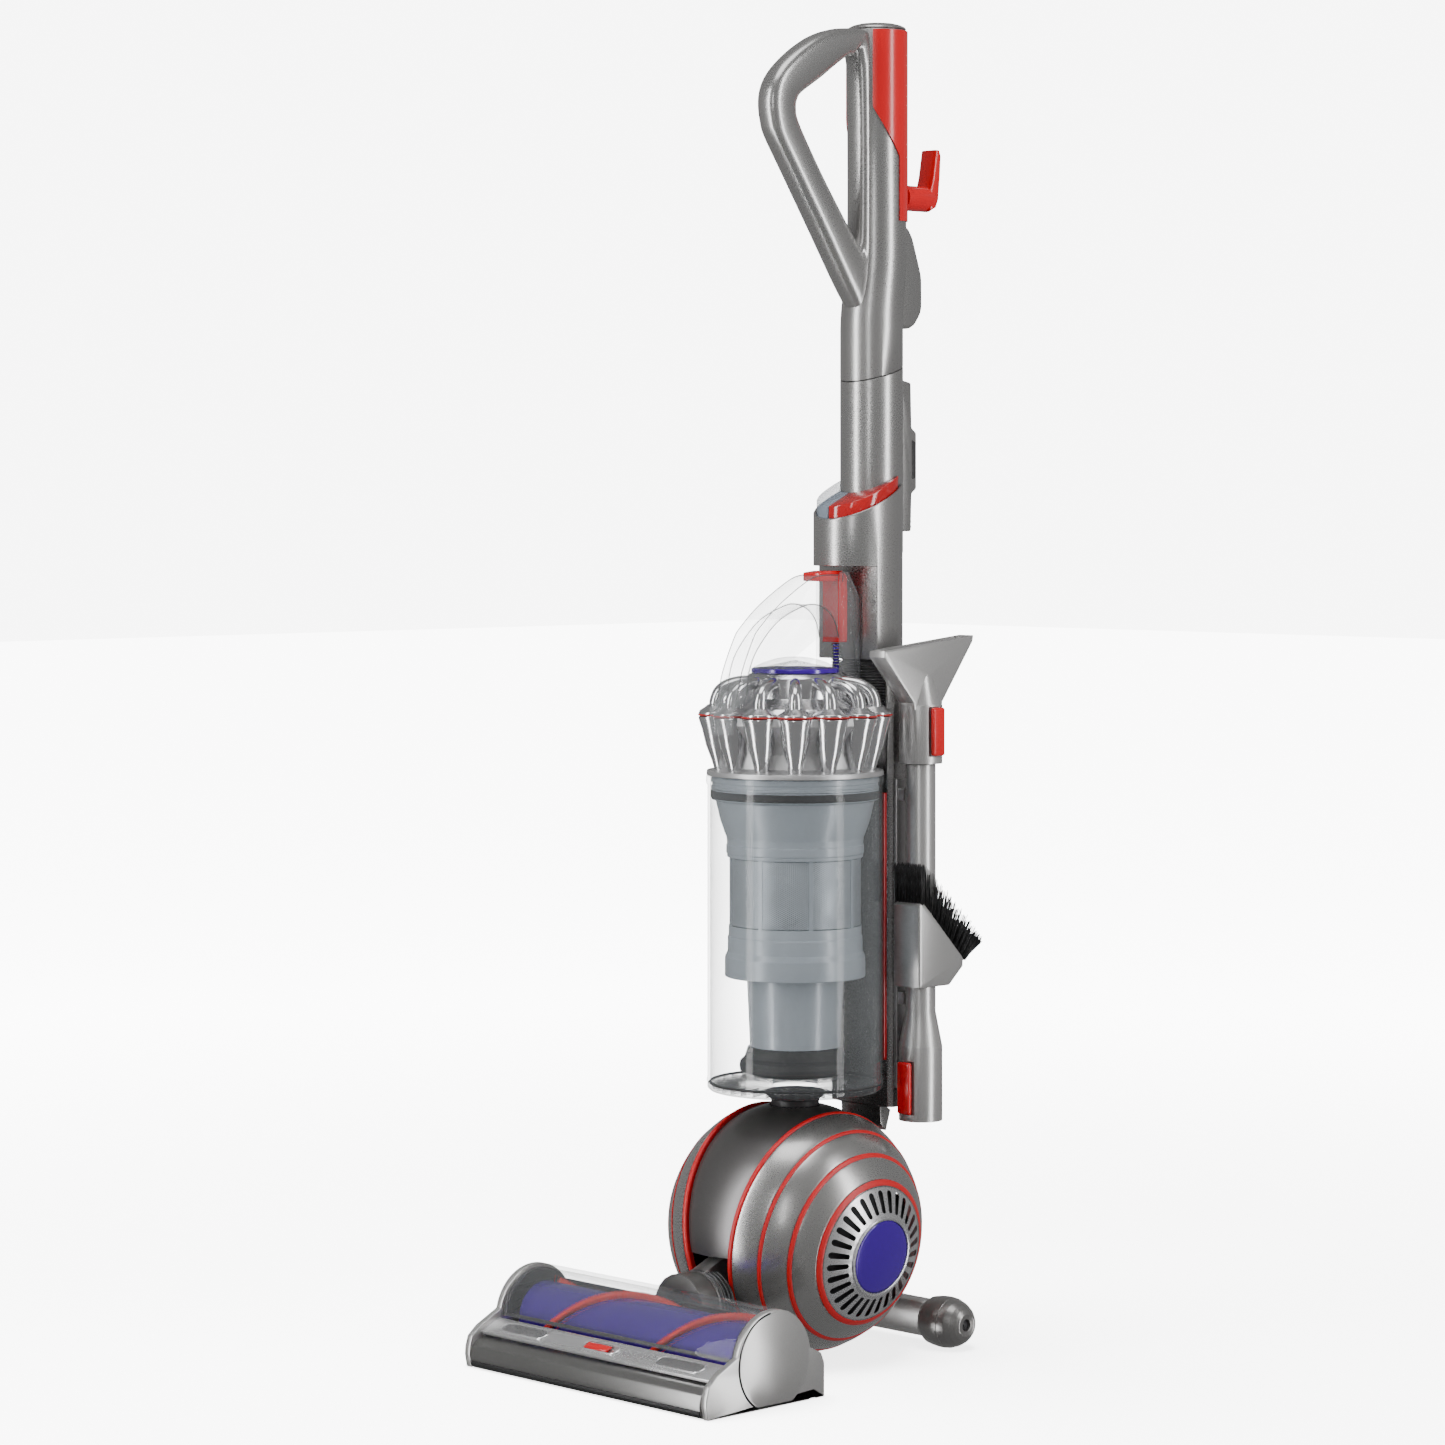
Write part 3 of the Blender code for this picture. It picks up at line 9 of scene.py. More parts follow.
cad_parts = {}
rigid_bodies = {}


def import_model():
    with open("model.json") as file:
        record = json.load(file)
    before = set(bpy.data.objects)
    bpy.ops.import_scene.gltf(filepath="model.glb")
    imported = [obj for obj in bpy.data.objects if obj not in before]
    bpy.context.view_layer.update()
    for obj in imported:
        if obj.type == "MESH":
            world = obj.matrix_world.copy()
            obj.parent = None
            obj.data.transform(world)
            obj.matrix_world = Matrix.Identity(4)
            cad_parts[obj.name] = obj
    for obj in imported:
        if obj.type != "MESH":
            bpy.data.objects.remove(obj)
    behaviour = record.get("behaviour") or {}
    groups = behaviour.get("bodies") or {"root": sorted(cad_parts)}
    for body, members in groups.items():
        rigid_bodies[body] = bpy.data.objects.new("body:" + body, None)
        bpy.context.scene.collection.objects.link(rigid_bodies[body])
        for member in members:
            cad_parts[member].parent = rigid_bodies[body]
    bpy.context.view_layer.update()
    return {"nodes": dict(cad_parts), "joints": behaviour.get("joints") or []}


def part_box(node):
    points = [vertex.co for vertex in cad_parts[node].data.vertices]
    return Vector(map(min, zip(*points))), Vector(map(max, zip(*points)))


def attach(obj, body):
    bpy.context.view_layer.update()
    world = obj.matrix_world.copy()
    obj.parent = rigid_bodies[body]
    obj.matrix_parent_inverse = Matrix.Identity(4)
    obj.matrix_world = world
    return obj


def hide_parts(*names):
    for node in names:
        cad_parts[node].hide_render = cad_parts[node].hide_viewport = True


for old in list(bpy.data.objects):
    bpy.data.objects.remove(old, do_unlink=True)
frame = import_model()

# Camera: a long lens, level with the bin's handle and looking along the diagonal between the front and the
# right side, shifted down so that uprights stay upright.
EYE = Vector((2.35425, -2.33812, 0.68434))
lens = bpy.data.cameras.new("studio_camera")
lens.lens = 103.94
lens.sensor_width = 36.0
lens.shift_y = -0.157
camera = bpy.data.objects.new("studio_camera", lens)
camera.location = EYE
camera.rotation_euler = (math.radians(90), 0.0, math.radians(45.78))
bpy.context.scene.collection.objects.link(camera)
bpy.context.scene.camera = camera


# Studio: a pale floor that runs on to the horizon under a bright surround. Two tall soft boxes give the long
# highlights on the tubes, with weaker ones in front and above, and a wash on the floor alone.
FLOOR_HALF = 14.0
sheet = bmesh.new()
bmesh.ops.create_grid(sheet, x_segments=8, y_segments=8, size=FLOOR_HALF)
floor_mesh = bpy.data.meshes.new("studio_floor")
sheet.to_mesh(floor_mesh)
sheet.free()
floor = bpy.data.objects.new("studio_floor", floor_mesh)
bpy.context.scene.collection.objects.link(floor)
floor.visible_diffuse = floor.visible_glossy = False      # the surround lights the object, not the floor


class Value:
    """A shader socket that adds, multiplies and feeds other nodes as a number would."""

    def __init__(self, tree, socket):
        self.tree, self.socket = tree, socket

    def node(self, kind, out=0, settings=None, **sockets):
        """Any other node. Each named input gets a constant or another value; i and a number is its place."""
        made = self.tree.nodes.new(f"ShaderNode{kind}")
        for name, setting in (settings or {}).items():
            setattr(made, name, setting)
        for name, value in sockets.items():
            place = int(name[1:]) if name[0] == "i" and name[1:].isdigit() else name.replace("_", " ")
            if isinstance(value, Value):
                self.tree.links.new(value.socket, made.inputs[place])
            else:
                made.inputs[place].default_value = value
        return Value(self.tree, made.outputs[out])

    def math(self, operation, *others):
        terms = {f"i{i}": term for i, term in enumerate((self, *others))}
        return self.node("Math", settings={"operation": operation}, **terms)

    def __add__(self, other):
        return self.math("ADD", other)

    def __radd__(self, other):
        return self.math("ADD", other)

    def __sub__(self, other):
        return self.math("SUBTRACT", other)

    def __rsub__(self, other):
        return (self * -1.0).math("ADD", other)

    def __mul__(self, other):
        return self.math("MULTIPLY", other)

    def __rmul__(self, other):
        return self.math("MULTIPLY", other)

    def __truediv__(self, other):
        return self.math("DIVIDE", other)

    def ramp(self, low, high, start=0.0, end=1.0):
        """Runs smoothly from start to end while the value goes from low to high."""
        return self.node("MapRange", settings={"interpolation_type": "SMOOTHSTEP"},
                         i0=self, i1=low, i2=high, i3=start, i4=end)

    def mix(self, first, second):
        """A blend of two colours, self being the share of the second."""
        return self.node("Mix", out=2, settings={"data_type": "RGBA"}, i0=self, i6=first, i7=second)


def blank(name):
    """A new material: its tree, its Principled shader and the Object coordinates of the piece."""
    made = bpy.data.materials.new(name)
    made.use_nodes = True
    tree = made.node_tree
    shader = tree.nodes["Principled BSDF"]
    spot = Value(tree, tree.nodes.new("ShaderNodeTexCoord").outputs["Object"])
    return made, shader, spot


def feed(shader, name, value):
    """Links a varying value to one of the shader's inputs, or sets a constant on it."""
    if isinstance(value, Value):
        value.tree.links.new(value.socket, shader.inputs[name])
    else:
        shader.inputs[name].default_value = value


def rgb(red, green, blue, share=1.0):
    return (red * share, green * share, blue * share, 1.0)


paper, shader, spot = blank("studio_paper")
cloud = spot.node("TexNoise", Vector=spot, Scale=0.7, Detail=3.0)
feed(shader, "Base Color", cloud.ramp(0.3, 0.7).mix(rgb(0.93, 0.93, 0.93), rgb(0.97, 0.97, 0.97)))
feed(shader, "Roughness", cloud.ramp(0.3, 0.7, 0.65, 0.8))
feed(shader, "Specular IOR Level", 0.2)
away = spot.node("VectorMath", out=1, settings={"operation": "LENGTH"}, i0=spot)
feed(shader, "Emission Color", away.ramp(0.5, 2.6).mix(rgb(1.0, 1.0, 1.0, 0.36), rgb(1.0, 1.0, 1.0)))
feed(shader, "Emission Strength", 9.5)
floor_mesh.materials.append(paper)

world = bpy.data.worlds.new("studio_air")
bpy.context.scene.world = world
world.use_nodes = True
air = world.node_tree
room = air.nodes["Background"]
room.inputs["Color"].default_value = (1.0, 1.0, 1.0, 1.0)
room.inputs["Strength"].default_value = 0.26
backdrop = air.nodes.new("ShaderNodeBackground")
backdrop.inputs["Strength"].default_value = 9.5
seen, choice = air.nodes.new("ShaderNodeLightPath"), air.nodes.new("ShaderNodeMixShader")
air.links.new(seen.outputs["Is Camera Ray"], choice.inputs[0])
air.links.new(room.outputs[0], choice.inputs[1])
air.links.new(backdrop.outputs[0], choice.inputs[2])
air.links.new(choice.outputs[0], air.nodes["World Output"].inputs["Surface"])
for name, place, aim, wide, high, watts in (
        ("tall_left_box", (-0.38, -1.25, 0.62), (0.0, 0.0, 0.62), 0.22, 2.6, 27.0),
        ("tall_right_box", (1.25, 0.38, 0.62), (0.0, 0.0, 0.62), 0.22, 2.6, 23.0),
        ("front_box", (1.9, -2.9, 1.5), (0.0, 0.0, 0.45), 0.30, 1.6, 12.0),
        ("top_box", (0.2, -0.4, 3.2), (0.0, 0.0, 0.30), 1.6, 1.6, 40.0),
        ("floor_wash", (-0.3, -0.2, 2.4), (0.0, 0.0, 0.0), 1.8, 1.8, 330.0)):
    lamp = bpy.data.lights.new(name, "AREA")
    lamp.shape = "RECTANGLE"
    lamp.size, lamp.size_y = wide, high
    lamp.energy = watts
    holder = bpy.data.objects.new(name, lamp)
    holder.location = place
    holder.rotation_euler = (Vector(aim) - Vector(place)).to_track_quat("-Z", "Y").to_euler()
    holder.visible_camera = False
    bpy.context.scene.collection.objects.link(holder)
floor_only = bpy.data.collections.new("floor_only")
floor_only.objects.link(floor)
holder.light_linking.receiver_collection = floor_only     # the wash gives the floor its soft contact shadow
holder.visible_glossy = False


def joint_of(name):
    return next(joint for joint in frame["joints"] if joint["name"] == name)


# Steering ball: two moulded half shells that roll on tilted axles, each ringed by three soft red inlays and
# a red tyre, with a slotted vent and a glossy hub cap at the outer end. Snap-fitted, so no screws show.
BALL = (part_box("ball_tyre_left")[0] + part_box("ball_tyre_right")[1]) / 2
BALL.z = joint_of("recline")["pos_m"][2]
BALL_R, SKIN = 0.1015, 0.003
INLAYS = (0.0496, 0.0689, 0.0841)               # along the axle, from the ball's middle
INLAY_HALF, GROOVE = 0.0016, 0.0009
SHELL_START, HUB_R, VENT_R = 0.0286, 0.0307, 0.0540
SLOTS, SLOT_IN, SLOT_OUT, SLOT_SHARE = 30, 0.0345, 0.0510, 0.50


def piece(name, work, body, material, *stands_for, sharp=35):
    """Turns a mesh in the making into a finished piece that rides on its body."""
    bmesh.ops.remove_doubles(work, verts=work.verts, dist=1e-6)
    bmesh.ops.recalc_face_normals(work, faces=work.faces)
    mesh = bpy.data.meshes.new(name)
    work.to_mesh(mesh)
    work.free()
    mesh.materials.append(material)
    mesh.shade_smooth()
    mesh.set_sharp_from_angle(angle=math.radians(sharp))
    made = bpy.data.objects.new(name, mesh)
    bpy.context.scene.collection.objects.link(made)
    if stands_for:
        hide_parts(*stands_for)
    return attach(made, body)


def eased(points, radius, closed=True, steps=3):
    """Rounds an outline's corners, each by no more than a third of its shorter side."""
    spots = [Vector(point) for point in points]
    rounded = []
    for i, spot in enumerate(spots):
        if not closed and i in (0, len(spots) - 1):
            rounded.append(tuple(spot))
            continue
        back, ahead = spots[i - 1] - spot, spots[(i + 1) % len(spots)] - spot
        cut = min(radius, back.length / 3, ahead.length / 3)
        if cut < 1e-6 or math.pi - back.angle(ahead) < math.radians(9):
            rounded.append(tuple(spot))
            continue
        first, last = spot + back.normalized() * cut, spot + ahead.normalized() * cut
        for step in range(steps + 1):
            t = step / steps
            rounded.append(tuple(first * (1 - t) ** 2 + spot * 2 * t * (1 - t) + last * t ** 2))
    return rounded


def lathe(work, profile, centre, axis=(0.0, 0.0, 1.0), sides=128, closed=True, ease=0.0004):
    """Adds a turned shape: the profile holds (radius, height along the axis), and closed joins its ends."""
    turn = Vector((0.0, 0.0, 1.0)).rotation_difference(Vector(axis)).to_matrix()
    rings = []
    for radius, height in eased(profile, ease, closed):
        if radius < 1e-7:
            rings.append([work.verts.new(Vector(centre) + turn @ Vector((0.0, 0.0, height)))])
            continue
        rings.append([work.verts.new(Vector(centre) + turn @ Vector(
            (radius * math.cos(2 * math.pi * i / sides), radius * math.sin(2 * math.pi * i / sides),
             height)))
            for i in range(sides)])
    following = rings[1:] + rings[:1] if closed else rings[1:]
    for near, far in zip(rings, following):
        for i in range(sides):
            j = (i + 1) % sides
            corners = dict.fromkeys((near[i % len(near)], near[j % len(near)],
                                     far[j % len(far)], far[i % len(far)]))
            if len(corners) > 2:
                work.faces.new(corners)
    return work


def moulded(name, finish, colour, roughness=0.35, metallic=0.0, coat=0.0, flake=0.12, grain=1500.0,
            dent=0.04):
    """Moulded plastic: pigment flakes, slow flow shades and a fine spark-eroded grain."""
    made, shader, spot = blank(name)
    fine = spot.node("TexNoise", Vector=spot, Scale=grain, Detail=2.0)
    broad = spot.node("TexNoise", Vector=spot, Scale=7.0, Detail=3.0)
    shade = fine.ramp(0.3, 0.7, 0.0, flake * 4) + broad.ramp(0.3, 0.7, 0.0, 0.35)
    feed(shader, "Base Color", shade.mix(rgb(*colour, 0.93), rgb(*colour, 1.10)))
    feed(shader, "Roughness", fine * 0.06 + broad * 0.08 + (roughness - 0.07))
    feed(shader, "Metallic", metallic)
    feed(shader, "Coat Weight", coat)
    feed(shader, "Coat Roughness", 0.06)
    feed(shader, "Normal", fine.node("Bump", Height=fine, Strength=dent, Distance=0.0004))
    made["finish"] = finish
    return made


def sphere_reach(radius, along):
    return math.sqrt(max(radius ** 2 - along ** 2, 0.0))


nickel = moulded("nickel_shell", "nickel_plastic", (0.37, 0.365, 0.36), 0.28, 0.80, 0.12)
inlay_red = moulded("soft_red_inlay", "red_tyre", (0.62, 0.008, 0.012), 0.42, 0.0, 0.0, 0.08, 900.0, 0.10)
vent_silver = moulded("vent_silver", "nickel_plastic", (0.56, 0.56, 0.57), 0.28, 0.80, 0.10)
hub_purple = moulded("hub_purple", "purple_plastic", (0.052, 0.001, 0.33), 0.18, 0.10, 0.4, 0.06, 2000.0,
                     0.01)
vent_dark = moulded("vent_foam", "dark_plastic", (0.012, 0.012, 0.013), 0.85, 0.0, 0.0, 0.3, 500.0, 0.6)

for side, sign in (("left", -1), ("right", 1)):
    body = f"shell_{side}"
    axle = Vector(joint_of(f"ball_spin_{side}")["axis"])
    axle *= sign * (1 if axle.x > 0 else -1)
    outside = [(sphere_reach(BALL_R, SHELL_START), SHELL_START)]
    borders = (SHELL_START, *INLAYS)
    for low, high in zip(borders, borders[1:]):
        edge_low = low + (INLAY_HALF if low > SHELL_START else 0.0)
        for step in range(1, 10):
            along = edge_low + (high - INLAY_HALF - edge_low) * step / 10
            outside.append((sphere_reach(BALL_R, along) + 0.0003 * math.sin(math.pi * step / 10), along))
        for along, sink in ((high - INLAY_HALF, 0.0), (high - INLAY_HALF, GROOVE),
                            (high + INLAY_HALF, GROOVE), (high + INLAY_HALF, 0.0)):
            outside.append((sphere_reach(BALL_R, along) - sink, along))
    last = outside[-1]
    inside = [(last[0] - SKIN, last[1])]
    inside += [(sphere_reach(BALL_R - SKIN, low), low) for low in INLAYS[::-1][1:]]
    inside.append((sphere_reach(BALL_R - SKIN, SHELL_START), SHELL_START))
    piece(f"half_shell_{side}", lathe(bmesh.new(), outside + inside, BALL, axle, 176, ease=0.00025), body,
          nickel, f"ball_shell_{side}")

    beads = bmesh.new()
    for along in INLAYS:
        reach = sphere_reach(BALL_R, along)
        lean = along / reach                     # the sphere falls this much per unit along the axle
        lathe(beads, [(reach - 0.0012, along - 0.0015), (reach + 0.0005 + lean * 0.001, along - 0.0009),
                      (reach + 0.0006, along), (reach + 0.0005 - lean * 0.001, along + 0.0009),
                      (reach - 0.0012 - lean * 0.001, along + 0.0015)], BALL, axle, 176)
    piece(f"red_inlays_{side}", beads, body, inlay_red)

    tyre = bmesh.new()
    low, high, reach = 0.0235, 0.0281, 0.0985
    lathe(tyre, [(reach - 0.0012, high), (reach - 0.0003, high - 0.0010), (reach, (low + high) / 2),
                 (reach - 0.0003, low + 0.0010), (reach - 0.0012, low), (reach - 0.0055, low),
                 (reach - 0.0055, high)], BALL, axle, 176)
    piece(f"red_tyre_{side}", tyre, body, inlay_red, f"ball_tyre_{side}")

    turn = Vector((0.0, 0.0, 1.0)).rotation_difference(axle).to_matrix()
    columns = [(-1.0 + 2.0 * i / 8) * SLOT_SHARE for i in range(9)] + [0.70, 1.0, 1.30]
    grille = bmesh.new()
    spokes = []
    for slot in range(SLOTS):
        for place in columns:
            angle = math.pi * (2 * slot + place) / SLOTS
            round_off = 1 - math.sqrt(max(1 - (place / SLOT_SHARE) ** 2, 0.0)) if place <= SLOT_SHARE else 1
            spoke = []
            for radius in (HUB_R, SLOT_IN + 0.0012 * round_off, SLOT_OUT - 0.0022 * round_off, VENT_R):
                rise = sphere_reach(BALL_R - 0.0007, radius)
                spoke.append(grille.verts.new(BALL + turn @ Vector(
                    (radius * math.cos(angle), radius * math.sin(angle), rise))))
            spokes.append((spoke, place < SLOT_SHARE))
    for (near, in_slot), (far, _) in zip(spokes, spokes[1:] + spokes[:1]):
        for row in range(3):
            if not (row == 1 and in_slot):
                grille.faces.new((near[row], near[row + 1], far[row + 1], far[row]))
    bmesh.ops.solidify(grille, geom=grille.faces, thickness=0.0022)
    lathe(grille, [(HUB_R, 0.0952), (HUB_R + 0.0014, 0.0966), (HUB_R + 0.0006, 0.0974),
                   (HUB_R - 0.0014, 0.0970),
                   (HUB_R - 0.0014, 0.0930), (HUB_R, 0.0920)], BALL, axle, 96)
    piece(f"vent_{side}", grille, body, vent_silver, f"vent_grille_{side}")
    piece(f"vent_liner_{side}", lathe(bmesh.new(), [(0.0, 0.0880), (0.0300, 0.0880), (0.0528, 0.0760),
                                                    (0.0528, 0.0745), (0.0, 0.0860)], BALL, axle, 64),
          body, vent_dark)
    cap_r = HUB_R - 0.0016
    piece(f"hub_{side}", lathe(bmesh.new(), [(0.0, 0.0992), (0.0080, 0.0990), (0.0160, 0.0984),
                                             (0.0230, 0.0976),
                                             (cap_r - 0.0010, 0.0968), (cap_r, 0.0958), (cap_r, 0.0935),
                                             (0.0, 0.0935)], BALL, axle, 128, closed=False), body,
                                             hub_purple,
          f"hub_cap_{side}")

# Middle cover: a smooth dark metallic moulding over the motor, from the stand over the top and down to the
# neck. It sits over the motor drum between the two tyres, and leaves way for the air pipe behind the bin.
COVER_R, COVER_FROM, COVER_TO = 0.0980, 38, 188
camber = math.acos(abs(axle.x))
band = bmesh.new()
rows = []
for i in range(97):
    angle = math.radians(COVER_FROM + (COVER_TO - COVER_FROM) * i / 96)
    half = edge = 0.0235 - 0.0012
    for _ in range(4):                           # its edge lies in the tyre's tilted plane
        rise = sphere_reach(COVER_R, half) * math.sin(angle)
        half = (edge + rise * math.sin(camber)) / math.cos(camber)
    row = []
    for j in range(33):
        across = half * (j / 16 - 1)
        reach = sphere_reach(COVER_R, across)
        row.append(band.verts.new(BALL + Vector((across, reach * math.cos(angle), reach * math.sin(angle)))))
    rows.append(row)
for low, high in zip(rows, rows[1:]):
    for a, b, c, d in zip(low, low[1:], high[1:], high):
        middle = (a.co + c.co) / 2
        if middle.z < BALL.z or (middle.xy - BALL.xy).length > 0.0207:      # the way of the air pipe
            band.faces.new((a, b, c, d))
bmesh.ops.delete(band, geom=[v for v in band.verts if not v.link_faces], context="VERTS")
bmesh.ops.recalc_face_normals(band, faces=band.faces)
if sum(f.normal.dot(f.calc_center_median() - BALL) for f in band.faces) < 0:
    bmesh.ops.reverse_faces(band, faces=band.faces)
bmesh.ops.solidify(band, geom=band.faces, thickness=SKIN)
iron = moulded("iron_cover", "iron_plastic", (0.135, 0.13, 0.13), 0.34, 0.70, 0.10)
piece("middle_cover", band, "upright", iron, "ball_cover")

# Floor head: a moulded chassis with a wear plate and a grey bumper over a dark rubber lip, closed by two end
# caps that clip on, and a nickel strip in front, painted lighter as a painted highlight on its upward face,
# whose red slider opens the suction gate.
SHIFT = Vector((0.0, BALL.y, 0.0))              # the ball's middle stands this far behind the origin
BRUSH = Vector(joint_of("brush_spin")["pos_m"])
BRUSH_AXIS = Vector((0.0, BRUSH.y, BRUSH.z))
CHAMBER_R, COVER_T = 0.0362, 0.0028


def refined(node, body, material, width=0.0006, name=None, turns=2, bend=28):
    """A CAD solid with its coplanar faces joined, its hard edges rounded and its round faces smooth."""
    work = bmesh.new()
    work.from_mesh(frame["nodes"][node].data)
    bmesh.ops.remove_doubles(work, verts=work.verts, dist=2e-6)
    bmesh.ops.dissolve_limit(work, angle_limit=math.radians(0.6), verts=work.verts, edges=work.edges)
    raw = bpy.data.meshes.new(node)
    work.to_mesh(raw)
    work.free()
    holder = bpy.data.objects.new(node, raw)
    bpy.context.scene.collection.objects.link(holder)
    rounding = holder.modifiers.new("rounding", "BEVEL")
    rounding.width, rounding.segments = width, turns
    rounding.limit_method, rounding.angle_limit = "ANGLE", math.radians(bend)
    bpy.context.view_layer.update()
    done = holder.evaluated_get(bpy.context.evaluated_depsgraph_get())
    work = bmesh.new()
    work.from_mesh(bpy.data.meshes.new_from_object(done))
    bpy.data.objects.remove(holder)
    return piece(name or f"{node}_moulding", work, body, material, node, sharp=bend)


def skinned(work, rings, capped=True):
    """Joins neighbouring rings of points with faces, and closes both ends."""
    for near, far in zip(rings, rings[1:]):
        for k in range(len(near)):
            m = (k + 1) % len(near)
            work.faces.new((near[k], near[m], far[m], far[k]))
    if capped:
        work.faces.new(rings[0])
        work.faces.new(rings[-1])


def extruded(work, line, low_x, high_x, ease=0.0008, edge=0.0006):
    """Adds a flat outline in Y, Z drawn out along X, with its rims cut back by a small rounding."""
    line = eased(line, ease)
    area = sum(a[0] * b[1] - b[0] * a[1] for a, b in zip(line, line[1:] + line[:1]))
    rings = []
    for x, inset in ((low_x, edge), (low_x + edge * 0.3, edge * 0.3), (low_x + edge, 0.0),
                     (high_x - edge, 0.0), (high_x - edge * 0.3, edge * 0.3), (high_x, edge)):
        ring = []
        for i, (y, z) in enumerate(line):
            along = (Vector(line[(i + 1) % len(line)]) - Vector(line[i - 1])).normalized()
            normal = Vector((along.y, -along.x)) * math.copysign(1.0, area)
            ring.append(work.verts.new((x, y - normal.x * inset, z - normal.y * inset)))
        rings.append(ring)
    skinned(work, rings)
    return work


def arc(radius, centre, start, end, steps):
    """Points on an arc round a (y, z) centre, in degrees."""
    return [(centre[0] + radius * math.cos(math.radians(start + (end - start) * i / steps)),
             centre[1] + radius * math.sin(math.radians(start + (end - start) * i / steps)))
            for i in range(steps + 1)]


charcoal = moulded("charcoal_moulding", "dark_plastic", (0.030, 0.030, 0.032), 0.45, 0.0, 0.0, 0.15, 1100.0,
                   0.10)
rubber = moulded("black_rubber", "black_rubber", (0.012, 0.012, 0.013), 0.62, 0.0, 0.0, 0.2, 700.0, 0.20)
satin = moulded("satin_nickel", "nickel_plastic", (0.46, 0.455, 0.45), 0.32, 0.62, 0.12)
red_gloss = moulded("red_gloss", "red_plastic", (0.72, 0.003, 0.008), 0.26, 0.0, 0.3, 0.05, 1800.0, 0.015)
refined("head_chassis", "head", moulded("head_grey", "nickel_plastic", (0.105, 0.103, 0.10), 0.42, 0.45),
        0.0008)
refined("sole_plate", "head", charcoal, 0.0006)
bumper_grey = moulded("bumper_grey", "nickel_plastic", (0.20, 0.198, 0.195), 0.30, 0.72, 0.15)
# the strip's nickel is the satin nickel made lighter: a painted highlight for its upward-facing top
strip_silver = moulded("strip_silver", "nickel_plastic", (0.64, 0.64, 0.645), 0.26, 0.70, 0.15)
refined("front_bumper", "head", bumper_grey, 0.0014, turns=3)
refined("front_strip", "head", strip_silver, 0.0005)
refined("suction_slider", "suction_control", red_gloss, 0.0005, turns=3)
refined("brush_motor", "head", charcoal, 0.0008)
cap_low, cap_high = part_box("head_end_right")
front, rear = cap_low.y, cap_high.y
for side, sign in (("left", -1), ("right", 1)):
    centre = (BRUSH.y, BRUSH.z)
    line = arc(CHAMBER_R + COVER_T, centre, 8, 168, 48)
    line += [(front + 0.0115, 0.0315), (front + 0.0030, 0.0245), (front + 0.0005, 0.0165), (front, 0.0100),
             (front + 0.0020, 0.0)]
    line += [(rear - 0.0160, 0.0), (rear - 0.0125, 0.0070), (rear - 0.0090, 0.0), (rear, 0.0),
             (rear, 0.0260), (rear - 0.0035, 0.0340)]
    inner, outer = cap_low.x, cap_high.x
    work = extruded(bmesh.new(), line, inner, outer - 0.0010, 0.0010, 0.0010)
    round_edge = arc(0.0379, centre, 96, 236, 60) + arc(0.0374, centre, 236, 96, 60)
    seam = extruded(bmesh.new(), round_edge, outer - 0.0016, outer - 0.0009, 0.0001, 0.0001)
    face = [(y, z) for y, z in arc(0.0366, centre, 0, 360, 96)[:-1] if z > 0.0014]
    extruded(work, face, outer - 0.0012, outer - 0.0004, 0.0001, 0.0004)
    if sign < 0:
        bmesh.ops.scale(work, vec=(-1, 1, 1), verts=work.verts)
        bmesh.ops.scale(seam, vec=(-1, 1, 1), verts=seam.verts)
    piece(f"end_cap_{side}", work, "head", satin, f"head_end_{side}")
    piece(f"end_seam_{side}", seam, "head", charcoal)
lip = [(front + 0.0026, 0.0004), (front - 0.0003, 0.0036), (front - 0.0003, 0.0060),
       (front + 0.0030, 0.0060), (front + 0.0050, 0.0004)]
piece("bumper_lip", extruded(bmesh.new(), lip, 0.0014 - cap_low.x, cap_low.x - 0.0014, 0.0005), "head",
      rubber)

# Strip windows: three oval frames let into the strip, in its lighter nickel with the same painted highlight.
# The outer two hold textured lenses, glued in, and the middle one guides the red slider.
STRIP_TILT = math.radians(24)
strip_low, strip_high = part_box("front_strip")
STRIP = (strip_low + strip_high) / 2
window_grey = moulded("window_grey", "dark_plastic", (0.20, 0.20, 0.205), 0.28, 0.5, 0.4, 0.8, 1300.0, 0.5)
lift = Matrix.Rotation(STRIP_TILT, 3, "X")


def oval(work, middle, half, depth, height):
    """A ring of points round a rounded bar shape, at a height over the strip's middle."""
    ring = []
    for k in range(32):
        turn = math.radians(11.25 * (k + 0.5))
        straight = math.copysign(half - depth, math.cos(turn))
        spot = Vector((middle + straight + depth * math.cos(turn), depth * math.sin(turn), height))
        ring.append(work.verts.new(STRIP + lift @ spot))
    return ring


for name, middle, half, depth in (("left", -0.088, 0.0240, 0.0052), ("right", 0.088, 0.0240, 0.0052),
                                  ("slider", 0.0, 0.0182, 0.0046)):
    rim = bmesh.new()
    rings = [oval(rim, middle, half + 0.0016, depth + 0.0014, 0.0012),
             oval(rim, middle, half + 0.0014, depth + 0.0012, 0.0022),
             oval(rim, middle, half + 0.0008, depth + 0.0007, 0.0026),
             oval(rim, middle, half, depth, 0.0023), oval(rim, middle, half, depth, 0.0012)]
    skinned(rim, rings + rings[:1], capped=False)
    # the frames share the strip's lighter nickel, a painted highlight
    piece(f"frame_{name}", rim, "head", strip_silver)
    if name == "slider":
        continue
    lens_pad = bmesh.new()
    rings = [oval(lens_pad, middle, half, depth, 0.0012), oval(lens_pad, middle, half, depth, 0.0019),
             oval(lens_pad, middle, half - 0.0006, depth - 0.0006, 0.0021)]
    skinned(lens_pad, rings)
    piece(f"window_{name}", lens_pad, "head", window_grey)

# Clear brush cover: a thin arc of polycarbonate hooked under the strip and the chassis, dark where its rims
# are seen on edge. The clear finish lets light through its face and shines along its edges.


